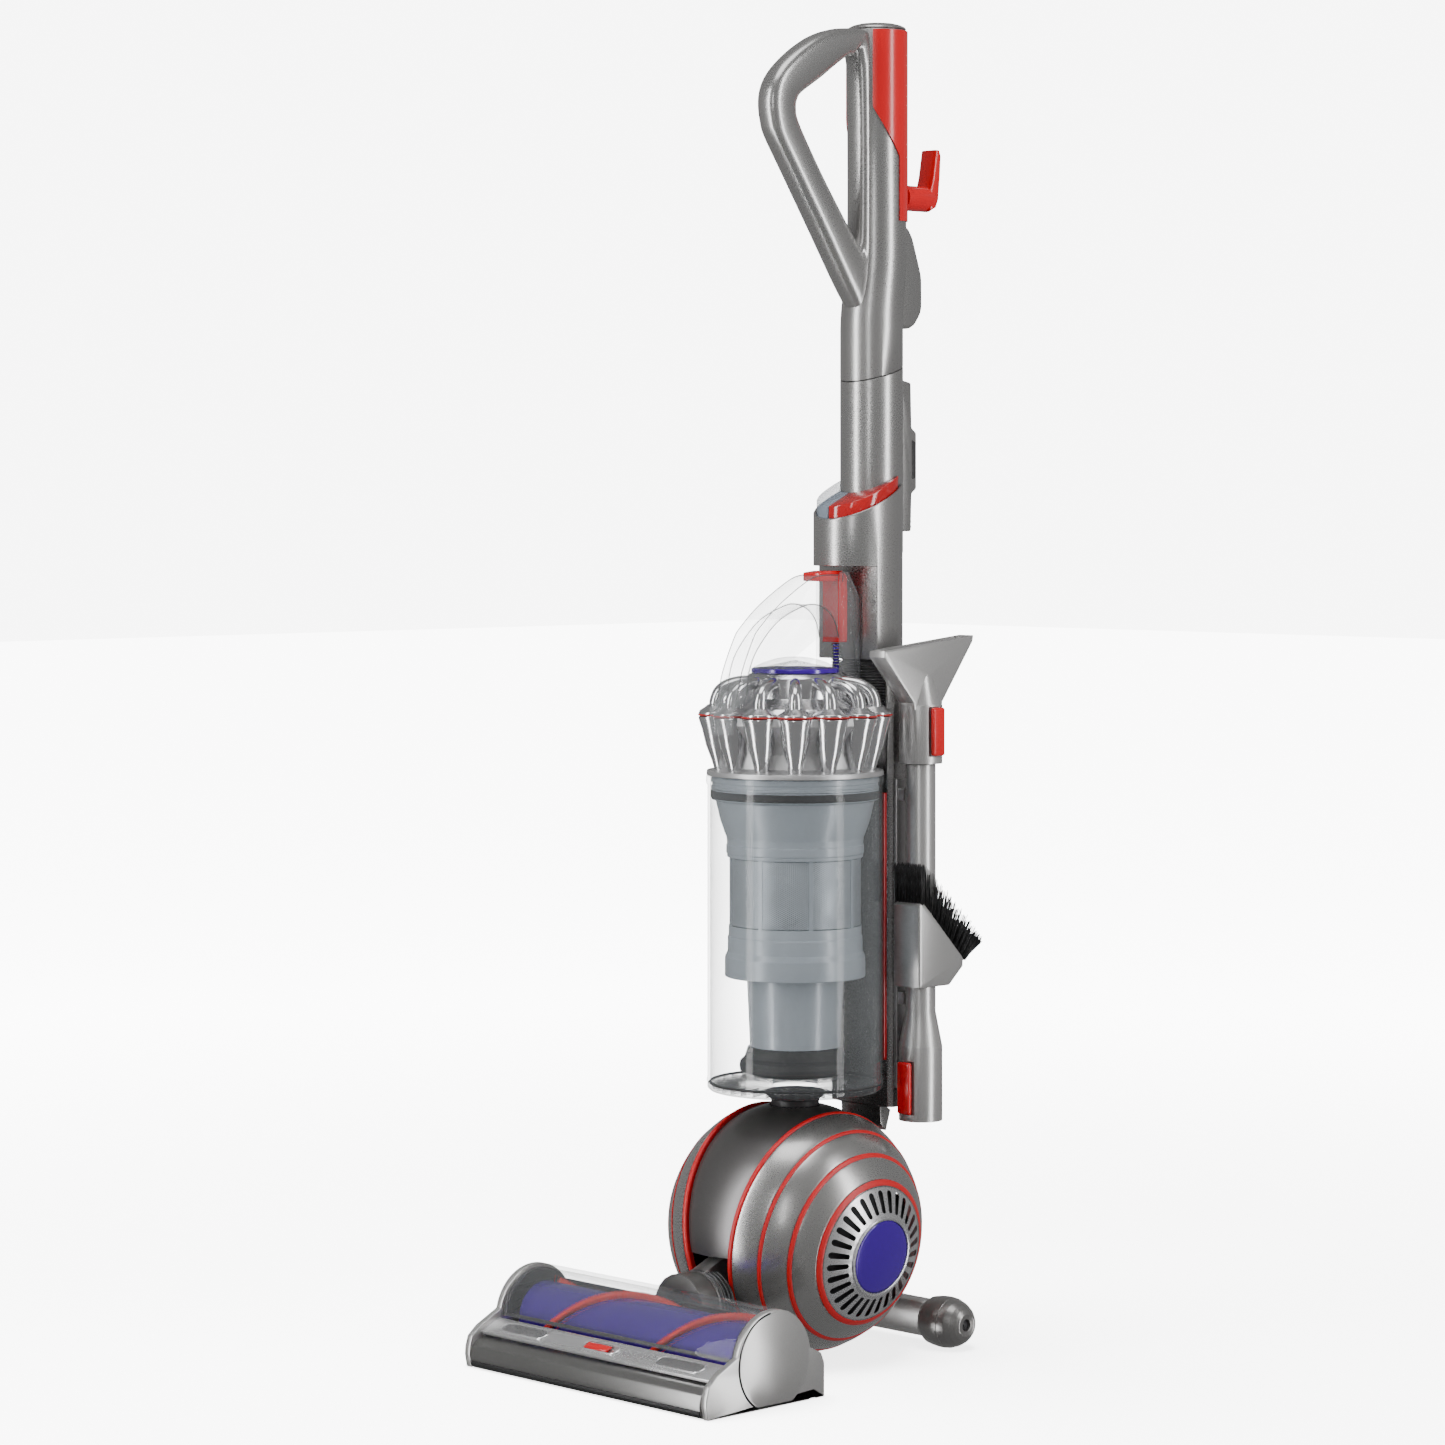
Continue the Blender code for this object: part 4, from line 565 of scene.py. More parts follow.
def clear(name, finish, tint, body=0.10, roughness=0.04, rim=0.55):
    """Clear plastic: mostly see-through, denser towards its edges, with faint swirls and fine dust."""
    made, shader, spot = blank(name)
    swirl = spot.node("TexNoise", Vector=spot, Scale=14.0, Detail=2.0)
    dust = spot.node("TexNoise", Vector=spot, Scale=420.0, Detail=1.0)
    edge = spot.node("LayerWeight", out=1, Blend=0.25)
    feed(shader, "Base Color", edge.mix(rgb(*tint), rgb(*tint, 0.30)))
    feed(shader, "Alpha", edge * rim + body + swirl * 0.03)
    feed(shader, "Roughness", dust.ramp(0.35, 0.7, roughness, roughness + 0.06))
    feed(shader, "Normal", swirl.node("Bump", Height=swirl, Strength=0.03, Distance=0.002))
    feed(shader, "Specular IOR Level", 0.7)
    feed(shader, "Coat Weight", 0.4)
    feed(shader, "Coat Roughness", 0.03)
    made["finish"] = finish
    return made


clear_cover = clear("clear_cover", "clear_plastic", (0.26, 0.27, 0.28), 0.05, 0.04, 0.45)
clear_bin = clear("clear_bin", "clear_plastic", (0.30, 0.32, 0.33), 0.05, 0.03, 0.50)
cover_low, cover_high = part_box("head_cover")
work = bmesh.new()
spot = (BRUSH.y, BRUSH.z)
line = arc(CHAMBER_R + COVER_T, spot, 37.5, 176, 64) + arc(CHAMBER_R, spot, 176, 37.5, 64)
extruded(work, line, cover_low.x, cover_high.x, 0.0003, 0.0004)
piece("brush_cover", work, "head", clear_cover, "head_cover")
rims = bmesh.new()
for x in (cover_low.x + 0.0002, cover_high.x - 0.0034):
    line = arc(CHAMBER_R - 0.0002, spot, 37.5, 176, 64) + arc(CHAMBER_R - 0.0012, spot, 176, 37.5, 64)
    extruded(rims, line, x, x + 0.0032, 0.0002, 0.0002)
for angle in (38.5, 171.5):
    line = arc(CHAMBER_R - 0.0002, spot, angle, angle + 4, 6) + arc(CHAMBER_R - 0.0012, spot, angle + 4,
                                                                    angle, 6)
    extruded(rims, line, cover_low.x + 0.0034, cover_high.x - 0.0036, 0.0002, 0.0002)
piece("cover_rims", rims, "head", charcoal)

# Brush bar: a hollow metallic-purple tube turned by the motor inside it, with two winding bands of stiff red
# nylon tufts set in grooves, and a row of finer filaments behind each band.
BAR_R, BAR_HALF, TUFT_REACH = 0.0262, 0.1245, 0.0320
SWEEP, BAND_SPREAD = 370, 4.5                   # degrees: how far a band winds, and its half width


def tuft_tree(name, sides=5):
    """Geometry Nodes that stand a tapering filament on every point, along the direction stored there."""
    tree = bpy.data.node_groups.new(name, "GeometryNodeTree")
    tree.interface.new_socket("Points", in_out="INPUT", socket_type="NodeSocketGeometry")
    for label, default in (("Filament Length", 0.005), ("Filament Radius", 0.0003), ("Length Scatter", 0.1)):
        tree.interface.new_socket(label, in_out="INPUT",
                                  socket_type="NodeSocketFloat").default_value = default
    tree.interface.new_socket("Finish", in_out="INPUT", socket_type="NodeSocketMaterial")
    tree.interface.new_socket("Tufts", in_out="OUTPUT", socket_type="NodeSocketGeometry")

    def add(kind, **settings):
        made = tree.nodes.new(kind)
        for key, value in settings.items():
            setattr(made, key, value)
        return made

    source, sink = add("NodeGroupInput"), add("NodeGroupOutput")
    cone = add("GeometryNodeMeshCone", fill_type="NGON")
    cone.inputs["Vertices"].default_value = sides
    thin = add("ShaderNodeMath", operation="MULTIPLY")
    thin.inputs[1].default_value = 0.45
    aim = add("GeometryNodeInputNamedAttribute", data_type="FLOAT_VECTOR")
    aim.inputs["Name"].default_value = "aim"
    turn = add("FunctionNodeAlignRotationToVector", axis="Z")
    vary = add("FunctionNodeRandomValue", data_type="FLOAT")
    vary.inputs["Seed"].default_value = 7
    low = add("ShaderNodeMath", operation="SUBTRACT")
    low.inputs[0].default_value = 1.0
    stand, join, paint = (add("GeometryNodeInstanceOnPoints"), add("GeometryNodeRealizeInstances"),
                          add("GeometryNodeSetMaterial"))
    for start, end in (
            (source.outputs["Filament Length"], cone.inputs["Depth"]),
            (source.outputs["Filament Radius"], cone.inputs["Radius Bottom"]),
            (source.outputs["Filament Radius"], thin.inputs[0]),
            (thin.outputs[0], cone.inputs["Radius Top"]),
            (aim.outputs["Attribute"], turn.inputs["Vector"]),
            (source.outputs["Length Scatter"], low.inputs[1]), (low.outputs[0], vary.inputs[2]),
            (source.outputs["Points"], stand.inputs["Points"]),
            (cone.outputs["Mesh"], stand.inputs["Instance"]),
            (turn.outputs["Rotation"], stand.inputs["Rotation"]), (vary.outputs[1], stand.inputs["Scale"]),
            (stand.outputs[0], join.inputs[0]), (join.outputs[0], paint.inputs["Geometry"]),
            (source.outputs["Finish"], paint.inputs["Material"]), (paint.outputs[0], sink.inputs[0])):
        tree.links.new(start, end)
    return tree


TUFTS = tuft_tree("standing_filaments")


def tufted(name, roots, length, radius, scatter, body, material, *stands_for):
    """A piece of many filaments: roots holds (point, direction) pairs."""
    mesh = bpy.data.meshes.new(f"{name}_roots")
    mesh.from_pydata([spot for spot, _ in roots], [], [])
    aims = mesh.attributes.new("aim", "FLOAT_VECTOR", "POINT")
    aims.data.foreach_set("vector", [value for _, aim in roots for value in aim])
    holder = bpy.data.objects.new(name, mesh)
    bpy.context.scene.collection.objects.link(holder)
    growth = holder.modifiers.new("growth", "NODES")
    growth.node_group = TUFTS
    named = {item.name: item.identifier for item in TUFTS.interface.items_tree if item.in_out == "INPUT"}
    growth[named["Filament Length"]] = length
    growth[named["Filament Radius"]] = radius
    growth[named["Length Scatter"]] = scatter
    growth[named["Finish"]] = material
    bpy.context.view_layer.update()
    done = holder.evaluated_get(bpy.context.evaluated_depsgraph_get())
    work = bmesh.new()
    work.from_mesh(bpy.data.meshes.new_from_object(done))
    bpy.data.objects.remove(holder)
    mesh = bpy.data.meshes.new(name)
    work.to_mesh(mesh)
    work.free()
    mesh.materials.append(material)
    mesh.shade_smooth()
    made = bpy.data.objects.new(name, mesh)
    bpy.context.scene.collection.objects.link(made)
    if stands_for:
        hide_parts(*stands_for)
    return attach(made, body)


def around_bar(x, radius, degrees):
    turn = math.radians(degrees)
    return BRUSH_AXIS + Vector((x, radius * math.cos(turn), radius * math.sin(turn)))


bar_purple = moulded("bar_purple", "purple_plastic", (0.070, 0.014, 0.40), 0.24, 0.45, 0.4, 0.10, 1500.0,
                     0.02)
nylon_red = moulded("nylon_red", "red_bristle", (0.82, 0.022, 0.016), 0.45, 0.0, 0.0, 0.25, 2500.0, 0.10)
bar = lathe(bmesh.new(), [(0.0, 0.1298), (0.004, 0.1298), (0.004, BAR_HALF), (BAR_R - 0.0015, BAR_HALF),
                          (BAR_R, BAR_HALF - 0.0020), (BAR_R, 0.0020 - BAR_HALF),
                          (BAR_R - 0.0015, -BAR_HALF),
                          (0.0215, -BAR_HALF), (0.0215, 0.040), (0.0, 0.040)],
            BRUSH_AXIS, (1, 0, 0), 128, closed=False)
piece("brush_bar_tube", bar, "brush_bar", bar_purple, "brush_tube")
for number, start in ((1, 61), (2, 241)):
    band = bmesh.new()
    sections = []
    for i in range(161):
        x = (BAR_HALF - 0.004) * (i / 80 - 1)
        lead = start - SWEEP * (x / BAR_HALF + 1) / 2
        sections.append([band.verts.new(around_bar(x, r, lead + a)) for r, a in (
            (BAR_R - 0.0004, -BAND_SPREAD), (BAR_R + 0.0020, -BAND_SPREAD),
            (TUFT_REACH - 0.0022, -BAND_SPREAD * 0.8),
            (TUFT_REACH - 0.0014, 0.0), (TUFT_REACH - 0.0022, BAND_SPREAD * 0.8),
            (BAR_R + 0.0020, BAND_SPREAD),
            (BAR_R - 0.0004, BAND_SPREAD))])
    skinned(band, sections)
    piece(f"tuft_band_{number}", band, "brush_bar", nylon_red, f"bristle_strip_{number}", sharp=60)
    roots, fine = [], []
    for i in range(250):
        x = (BAR_HALF - 0.004) * (i / 124.5 - 1)
        lead = start - SWEEP * (x / BAR_HALF + 1) / 2
        for share in (-1.0, -0.6, -0.2, 0.2, 0.6, 1.0):
            lean = share * BAND_SPREAD
            foot = around_bar(x + 0.0004 * math.sin(37 * i + 11 * share), BAR_R, lead + lean)
            tip = around_bar(x + 0.0005 * math.sin(53 * i + 7 * share), TUFT_REACH, lead + lean * 0.95)
            roots.append((foot, tip - foot))
        if i % 2 == 0:
            foot, tip = (around_bar(x, BAR_R, lead + 3.1 * BAND_SPREAD),
                         around_bar(x + 0.0006 * math.sin(29 * i), TUFT_REACH, lead + 3.4 * BAND_SPREAD))
            fine.append((foot, tip - foot))
    tufted(f"red_tufts_{number}", roots, TUFT_REACH - BAR_R - 0.0002, 0.00034, 0.12, "brush_bar", nylon_red)
    tufted(f"red_filaments_{number}", fine, TUFT_REACH - BAR_R - 0.0002, 0.00020, 0.15, "brush_bar",
           nylon_red)

# Yoke and stand: dark metallic castings that carry the ball. The yoke's neck turns in the head's collar
# under a ribbed dust boot; the stand's two bowl-shaped wheels run on one axle behind the ball.
castings = moulded("iron_casting", "iron_plastic", (0.16, 0.157, 0.155), 0.38, 0.60, 0.05, 0.15, 1100.0,
                   0.08)
refined("yoke_frame", "yoke", castings, 0.0010, turns=3)
refined("stand_frame", "stand", satin, 0.0009, turns=3)
for node in ("motor_drum", "motor", "exhaust_filter"):
    refined(node, "upright", charcoal if node != "exhaust_filter" else hub_purple, 0.0006)
neck_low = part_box("yoke_frame")[0]
boot = bmesh.new()
NECK_Z = 0.050
for i in range(4):
    at = neck_low.y + 0.0030 + 0.0038 * i
    lathe(boot, [(0.0270, -0.0014), (0.0281, -0.0008), (0.0283, 0.0), (0.0281, 0.0008), (0.0270, 0.0014)],
          (0.0, at, NECK_Z), (0, 1, 0), 96)
piece("neck_boot", boot, "yoke", charcoal)
wheel_grey = moulded("wheel_grey", "iron_plastic", (0.25, 0.245, 0.24), 0.30, 0.70, 0.15)
for side, sign in (("left", -1), ("right", 1)):
    low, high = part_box(f"stand_wheel_{side}")
    hub = Vector((sign * 0.077, (low.y + high.y) / 2, (low.z + high.z) / 2))
    wheel = lathe(bmesh.new(), [(0.0047, 0.0218), (0.0080, 0.0222), (0.0088, 0.0225), (0.0095, 0.0222),
                                (0.0125, 0.0203), (0.0155, 0.0170), (0.0180, 0.0125), (0.0196, 0.0075),
                                (0.0204, 0.0025), (0.0205, 0.0), (0.0204, -0.0025), (0.0198, -0.0080),
                                (0.0190, -0.0125), (0.0165, -0.0166), (0.0060, -0.0168), (0.0047, -0.0160)],
                  hub, (sign, 0, 0), 112)
    lathe(wheel, [(0.0192, 0.0052), (0.0200, 0.0058), (0.0200, 0.0066), (0.0190, 0.0070)], hub,
          (sign, 0, 0), 112)
    piece(f"bowl_wheel_{side}", wheel, f"stand_wheel_{side}", wheel_grey, f"stand_wheel_{side}")
    pin = lathe(bmesh.new(), [(0.0, 0.0212), (0.0018, 0.0212), (0.0022, 0.0202), (0.0040, 0.0196),
                              (0.0040, 0.0150), (0.0, 0.0150)], hub, (sign, 0, 0), 48, closed=False)
    piece(f"axle_end_{side}", pin, "stand", charcoal)

# Bin: a clear tube with a clear, ribbed, seal-edged base, round a blue-grey shroud with a fine steel-like
# mesh and a tapering skirt down to the base.
AXIS = SHIFT.copy()
BIN_R, BIN_WALL = 0.0702, 0.0022
bin_low, bin_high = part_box("bin_wall")
base_low, base_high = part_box("bin_base")
shroud_grey = moulded("shroud_blue_grey", "blue_grey_plastic", (0.38, 0.43, 0.48), 0.34, 0.10, 0.2)
mesh_tone, shader, spot = blank("shroud_screen")
parts = spot.node("SeparateXYZ", Vector=spot)
across = Value(parts.tree, parts.socket.node.outputs["X"])
along = Value(parts.tree, parts.socket.node.outputs["Y"]) - SHIFT.y
turned_by = along.math("ARCTAN2", across)
rise = Value(parts.tree, parts.socket.node.outputs["Z"])
holes_around = (turned_by * 110.0).math("SINE")
holes_up = (rise * (2 * math.pi / 0.0016)).math("SINE")
hole = (holes_around * holes_up).ramp(0.1, 0.5)
patch = spot.node("TexNoise", Vector=spot, Scale=60.0, Detail=2.0)
feed(shader, "Base Color", hole.mix(rgb(0.46, 0.51, 0.56), rgb(0.13, 0.15, 0.17)))
feed(shader, "Metallic", 0.5)
feed(shader, "Roughness", patch.ramp(0.3, 0.7, 0.35, 0.5))
feed(shader, "Normal", hole.node("Bump", Height=hole * -1.0, Strength=0.5, Distance=0.0003))
mesh_tone["finish"] = "blue_grey_plastic"

piece("bin_tube", lathe(bmesh.new(), [
    (BIN_R + 0.0012, bin_high.z), (BIN_R + 0.0012, bin_high.z - 0.0050), (BIN_R, bin_high.z - 0.0075),
    (BIN_R, bin_low.z + 0.0030), (BIN_R + 0.0006, bin_low.z + 0.0020), (BIN_R + 0.0006, bin_low.z),
    (BIN_R - BIN_WALL, bin_low.z), (BIN_R - BIN_WALL, bin_high.z)], AXIS, sides=176), "bin", clear_bin,
    "bin_wall")
clear_base = clear("clear_base", "clear_plastic", (0.12, 0.125, 0.13), 0.22, 0.05, 0.70)
piece("bin_base_pan", lathe(bmesh.new(), [
    (0.0180, base_high.z), (0.0428, base_high.z), (0.0440, base_low.z + 0.0065),
    (0.0600, base_low.z + 0.0050),
    (BIN_R - 0.0012, base_high.z - 0.0042), (BIN_R, base_high.z - 0.0050), (BIN_R, base_low.z + 0.0020),
    (BIN_R - 0.0020, base_low.z), (0.0560, base_low.z + 0.0010), (0.0450, base_low.z + 0.0030),
    (0.0180, base_low.z + 0.0030)], AXIS, sides=176), "bin_base", clear_base, "bin_base")


def blocks_around(count, phase, size, middle):
    """Small bars set in a ring round the bin's axis, the first a share of a step round from the right."""
    work = bmesh.new()
    for i in range(count):
        made = bmesh.ops.create_cube(work, size=1.0)["verts"]
        bmesh.ops.scale(work, vec=size, verts=made)
        bmesh.ops.translate(work, vec=middle, verts=made)
        spin = Matrix.Rotation(2 * math.pi * (i + phase) / count, 3, "Z")
        bmesh.ops.rotate(work, cent=(0, 0, 0), matrix=spin, verts=made)
        bmesh.ops.translate(work, vec=AXIS, verts=made)
    return work


ribs = blocks_around(36, 0.5, (0.0210, 0.0012, 0.0040), (0.0560, 0.0, base_low.z + 0.0032))
piece("base_ribs", ribs, "bin_base", clear_base)
seals = lathe(bmesh.new(), [(BIN_R - 0.0030, base_high.z - 0.0030), (BIN_R - 0.0014, base_high.z - 0.0034),
                            (BIN_R - 0.0014, base_high.z - 0.0052), (BIN_R - 0.0030, base_high.z - 0.0052)],
              AXIS, sides=176)
piece("base_seal", seals, "bin_base", rubber)
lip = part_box("shroud_cone")[0].z
piece("shroud_seal", lathe(bmesh.new(), [
    (0.0372, lip + 0.0020), (0.0440, lip + 0.0040), (0.0447, lip + 0.0080), (0.0440, lip + 0.0120),
    (0.0405, lip + 0.0150), (0.0380, lip + 0.0230), (0.0352, lip + 0.0240), (0.0350, lip + 0.0010)],
    AXIS, sides=144), "bin", rubber)
piece("shroud_skirt", lathe(bmesh.new(), [
    (0.0532, 0.3410), (0.0532, 0.3330), (0.0540, 0.3320), (0.0540, 0.3205), (0.0562, 0.3160),
    (0.0563, 0.3005),
    (0.0556, 0.3000), (0.0540, 0.3000), (0.0540, 0.3080), (0.0400, 0.3080), (0.0388, 0.3020),
    (0.0352, lip + 0.0010), (0.0320, lip), (0.0358, 0.3110), (0.0511, 0.3110), (0.0511, 0.3410)],
    AXIS, sides=160), "bin", shroud_grey, "shroud_cone")
piece("shroud_screen", lathe(bmesh.new(), [(0.0526, 0.3950), (0.0526, 0.3415), (0.0506, 0.3415),
                                           (0.0506, 0.3950)],
                             AXIS, sides=160), "bin", mesh_tone, "shroud_mesh")
ties = blocks_around(8, 0.3, (0.0016, 0.0034, 0.0560), (0.0522, 0.0, 0.3682))
piece("screen_ties", ties, "bin", shroud_grey)
piece("shroud_neck", lathe(bmesh.new(), [
    (0.0670, 0.4500), (0.0670, 0.4420), (0.0636, 0.4405), (0.0618, 0.4330), (0.0600, 0.4250),
    (0.0568, 0.4160),
    (0.0550, 0.4110), (0.0545, 0.4060), (0.0552, 0.4052), (0.0552, 0.3990), (0.0545, 0.3982),
    (0.0545, 0.3955),
    (0.0505, 0.3955), (0.0505, 0.4100), (0.0560, 0.4250), (0.0600, 0.4500)], AXIS, sides=160), "bin",
    shroud_grey, "shroud_funnel")
piece("funnel_collar", lathe(bmesh.new(), [
    (0.0673, 0.4603), (0.0673, 0.4560), (0.0664, 0.4552), (0.0664, 0.4528), (0.0673, 0.4520),
    (0.0673, 0.4503),
    (0.0600, 0.4503), (0.0600, 0.4603)], AXIS, sides=160), "bin", shroud_grey)
piece("bin_top_seal", lathe(bmesh.new(), [(0.0671, 0.4490), (0.0679, 0.4485), (0.0679, 0.4435),
                                          (0.0671, 0.4425),
                                          (0.0655, 0.4425), (0.0655, 0.4490)], AXIS, sides=160), "bin",
                                          rubber)

# Cyclone pack: fourteen bright metallised cones in a ring, joined by pale webs, sealed by a red scalloped
# gasket; above it a lid of fourteen arching finger ducts that meet round the filter.
CONES, CONE_RING, CONE_R, CONE_TIP, CONE_SPIN = 14, 0.0645, 0.0141, 0.0052, 0.25
GASKET_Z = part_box("cyclone_pack")[1].z
FILTER_R, FILTER_Z = 0.0352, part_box("filter_ring")[0].z
chrome = moulded("bright_metallised", "chromed_plastic", (0.62, 0.62, 0.63), 0.19, 0.95, 0.2, 0.04, 1500.0,
                 0.015)
web_grey = moulded("web_grey", "chromed_plastic", (0.50, 0.50, 0.505), 0.40, 0.75, 0.1)
gasket_red = moulded("gasket_red", "red_plastic", (0.50, 0.010, 0.010), 0.40, 0.0, 0.1)


def tube_along(work, points, sizes, sides=24, squash=1.0, up=(0.0, 0.0, 1.0)):
    """Adds a closed tube along points, with its own radius at each, flattened across by squash."""
    rings = []
    for i, (spot, size) in enumerate(zip(points, sizes)):
        ahead = (points[min(i + 1, len(points) - 1)] - points[max(i - 1, 0)]).normalized()
        side = ahead.cross(Vector(up)).normalized()
        over = side.cross(ahead).normalized()
        rings.append([work.verts.new(spot + side * (size * squash * math.cos(2 * math.pi * k / sides))
                                     + over * (size * math.sin(2 * math.pi * k / sides)))
                      for k in range(sides)])
    skinned(work, rings)
    return work


def flowing(points, steps=5, closed=False):
    """A smooth line through its points."""
    spots = [Vector(point) for point in points]
    count = len(spots)
    line = []
    for n in range(count if closed else count - 1):
        before = spots[n - 1] if closed or n else spots[0]
        start, end = spots[n], spots[(n + 1) % count]
        after = spots[(n + 2) % count] if closed or n + 2 < count else end
        for step in range(steps):
            t = step / steps
            line.append(tuple(0.5 * (2 * start + (end - before) * t
                                     + (2 * before - 5 * start + 4 * end - after) * t ** 2
                                     + (3 * start - before - 3 * end + after) * t ** 3)))
    return line if closed else line + [tuple(spots[-1])]


cones, webs, gasket, ducts = bmesh.new(), bmesh.new(), bmesh.new(), bmesh.new()
for i in range(CONES):
    spin = 2 * math.pi * (i + CONE_SPIN) / CONES
    out = Vector((math.cos(spin), math.sin(spin), 0.0))
    head_spot = AXIS + out * CONE_RING + Vector((0.0, 0.0, GASKET_Z))
    foot_spot = AXIS + out * (CONE_RING - 0.0045) + Vector((0.0, 0.0, 0.4640))
    down = (foot_spot - head_spot)
    drop = down.length
    lathe(cones, [(0.0, -0.0002), (CONE_R, -0.0002), (CONE_R + 0.0003, 0.0012), (CONE_R, 0.0030),
                  (CONE_R - 0.0016, 0.0100), ((CONE_R + CONE_TIP) / 2 + 0.0010, drop * 0.5),
                  (CONE_TIP + 0.0018, drop * 0.80), (CONE_TIP + 0.0003, drop - 0.0015), (CONE_TIP, drop),
                  (0.0, drop)], head_spot, down.normalized(), 56, closed=False)
    lathe(gasket, [(0.0, 0.0), (CONE_R + 0.0006, 0.0), (CONE_R + 0.0006, 0.0011), (0.0, 0.0011)],
          head_spot - Vector((0.0, 0.0, 0.0003)), (0, 0, 1), 56, closed=False)
    lathe(ducts, [(0.0, 0.0008), (CONE_R + 0.0002, 0.0008), (CONE_R - 0.0002, 0.0024),
                  (CONE_R - 0.0038, 0.0046),
                  (0.0074, 0.0070), (0.0, 0.0080)], head_spot, (0, 0, 1), 56, closed=False)
    route = [(0.0000, 0.0030), (0.0000, 0.0105), (-0.0022, 0.0168), (-0.0070, 0.0212), (-0.0135, 0.0240),
             (-0.0210, 0.0256), (-0.0290, 0.0260)]
    spots = [head_spot + out * r + Vector((0.0, 0.0, z)) for r, z in route]
    fine = [Vector(spot) for spot in flowing(spots, 4)]
    sizes = [0.0058 - 0.0012 * n / (len(fine) - 1) for n in range(len(fine))]
    tube_along(ducts, fine, sizes, 28, 1.0, (-out.y, out.x, 0.0))
piece("cyclone_cones", cones, "bin", chrome, "cyclone_pack")
piece("cyclone_gasket", gasket, "bin", gasket_red)
piece("finger_ducts", ducts, "bin", chrome, "cyclone_lid")
lathe(webs, [(0.0705, GASKET_Z - 0.0010), (0.0700, GASKET_Z - 0.0070), (0.0600, 0.4900), (0.0575, 0.4800),
             (0.0590, 0.4680), (0.0660, 0.4655), (BIN_R + 0.0004, 0.4650), (BIN_R + 0.0008, 0.4635),
             (BIN_R + 0.0008, 0.4610), (BIN_R - 0.0010, 0.4605), (0.0480, 0.4605),
             (0.0460, GASKET_Z - 0.0010)],
      AXIS, sides=168)
piece("cyclone_webs", webs, "bin", web_grey)
piece("duct_manifold", lathe(bmesh.new(), [
    (0.0, FILTER_Z - 0.0006), (FILTER_R + 0.0004, FILTER_Z - 0.0006), (FILTER_R + 0.0042, FILTER_Z - 0.0040),
    (FILTER_R + 0.0060, FILTER_Z - 0.0120), (FILTER_R + 0.0080, FILTER_Z - 0.0200),
    (0.0560, GASKET_Z + 0.0060),
    (0.0600, GASKET_Z + 0.0010), (0.0, GASKET_Z + 0.0010)], AXIS, sides=144, closed=False), "bin", chrome)
piece("filter_rim", lathe(bmesh.new(), [
    (FILTER_R, FILTER_Z + 0.0030), (FILTER_R, FILTER_Z), (FILTER_R - 0.0060, FILTER_Z),
    (FILTER_R - 0.0060, FILTER_Z + 0.0032), (FILTER_R - 0.0010, FILTER_Z + 0.0036)], AXIS, sides=128), "bin",
    hub_purple, "filter_ring")
piece("filter_core", lathe(bmesh.new(), [
    (0.0, FILTER_Z + 0.0006), (0.0290, FILTER_Z + 0.0006), (0.0290, FILTER_Z + 0.0001),
    (0.0, FILTER_Z + 0.0001)],
    AXIS, sides=96, closed=False), "bin", shroud_grey)
dome = [(0.0, 0.0125), (0.0070, 0.0122), (0.0140, 0.0113), (0.0200, 0.0098), (0.0260, 0.0076),
        (0.0310, 0.0052), (FILTER_R - 0.0015, 0.0038), (0.0290, 0.0036), (0.0, 0.0100)]
piece("filter_window", lathe(bmesh.new(), [(r, FILTER_Z + z) for r, z in dome], AXIS, sides=128,
                             closed=False),
      "bin", clear_cover, "filter_dome")

# Carrying handle: one clear moulding, a flat arch from a tab over a front cone up to a block behind the
# filter. A red trigger sits in the block on a steel spring, with a purple stem that works the base's catch.


def placed(line):
    return [(y + SHIFT.y, z) for y, z in line]


clear_handle = clear("clear_handle", "clear_plastic", (0.60, 0.62, 0.63), 0.05, 0.05, 0.55)
clear_edge = clear("clear_edge", "clear_plastic", (0.16, 0.165, 0.17), 0.62, 0.10, 0.2)
over = flowing([(-0.0850, 0.5180), (-0.0765, 0.5240), (-0.0705, 0.5450), (-0.0580, 0.5710),
                (-0.0499, 0.5807),
                (-0.0297, 0.5970), (-0.0014, 0.6137), (0.0157, 0.6200), (0.0388, 0.6205)])
under = flowing([(0.0388, 0.5700), (0.0345, 0.5830), (0.0260, 0.5920), (0.0120, 0.5970), (-0.0035, 0.5953),
                 (-0.0307, 0.5840), (-0.0534, 0.5625), (-0.0624, 0.5447), (-0.0660, 0.5250),
                 (-0.0795, 0.5145)])
carry_low, carry_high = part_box("carry_handle")
carry = extruded(bmesh.new(), placed([(-0.0850, 0.4960)] + over + under + [(-0.0800, 0.4960)]), -0.0112,
                 0.0112,
                 0.0008, 0.0012)
block = [(0.0390, 0.6150), (0.0398, 0.6232), (0.0450, 0.6235), (0.0550, 0.6080), (0.0590, 0.6000),
         (0.0590, 0.5290), (0.0530, 0.5340), (0.0480, 0.5370), (0.0390, 0.5420)]
for low_x, high_x in ((carry_low.x, -0.0104), (0.0104, carry_high.x)):
    extruded(carry, placed(block), low_x, high_x, 0.0015, 0.0010)
back_wall = [(0.0530, 0.6100), (0.0550, 0.6080), (0.0590, 0.6000), (0.0590, 0.5290), (0.0530, 0.5340)]
extruded(carry, placed(back_wall), -0.0104, 0.0104, 0.0008, 0.0004)
piece("carry_arch", carry, "bin", clear_handle, "carry_handle")
edges = bmesh.new()
for line, reach in ((over, 0.0108), (under, 0.0108), (block, carry_high.x - 0.0004)):
    for side in (-1, 1):
        spots = [Vector((side * reach, y + SHIFT.y, z)) for y, z in line]
        tube_along(edges, spots, [0.00045] * len(spots), 6, 1.0, (1.0, 0.0, 0.0))
piece("carry_edges", edges, "bin", clear_edge)
refined("release_lever", "bin_release", red_gloss, 0.0010, turns=3)
steel = moulded("spring_steel", "chromed_plastic", (0.50, 0.50, 0.50), 0.22, 1.0)
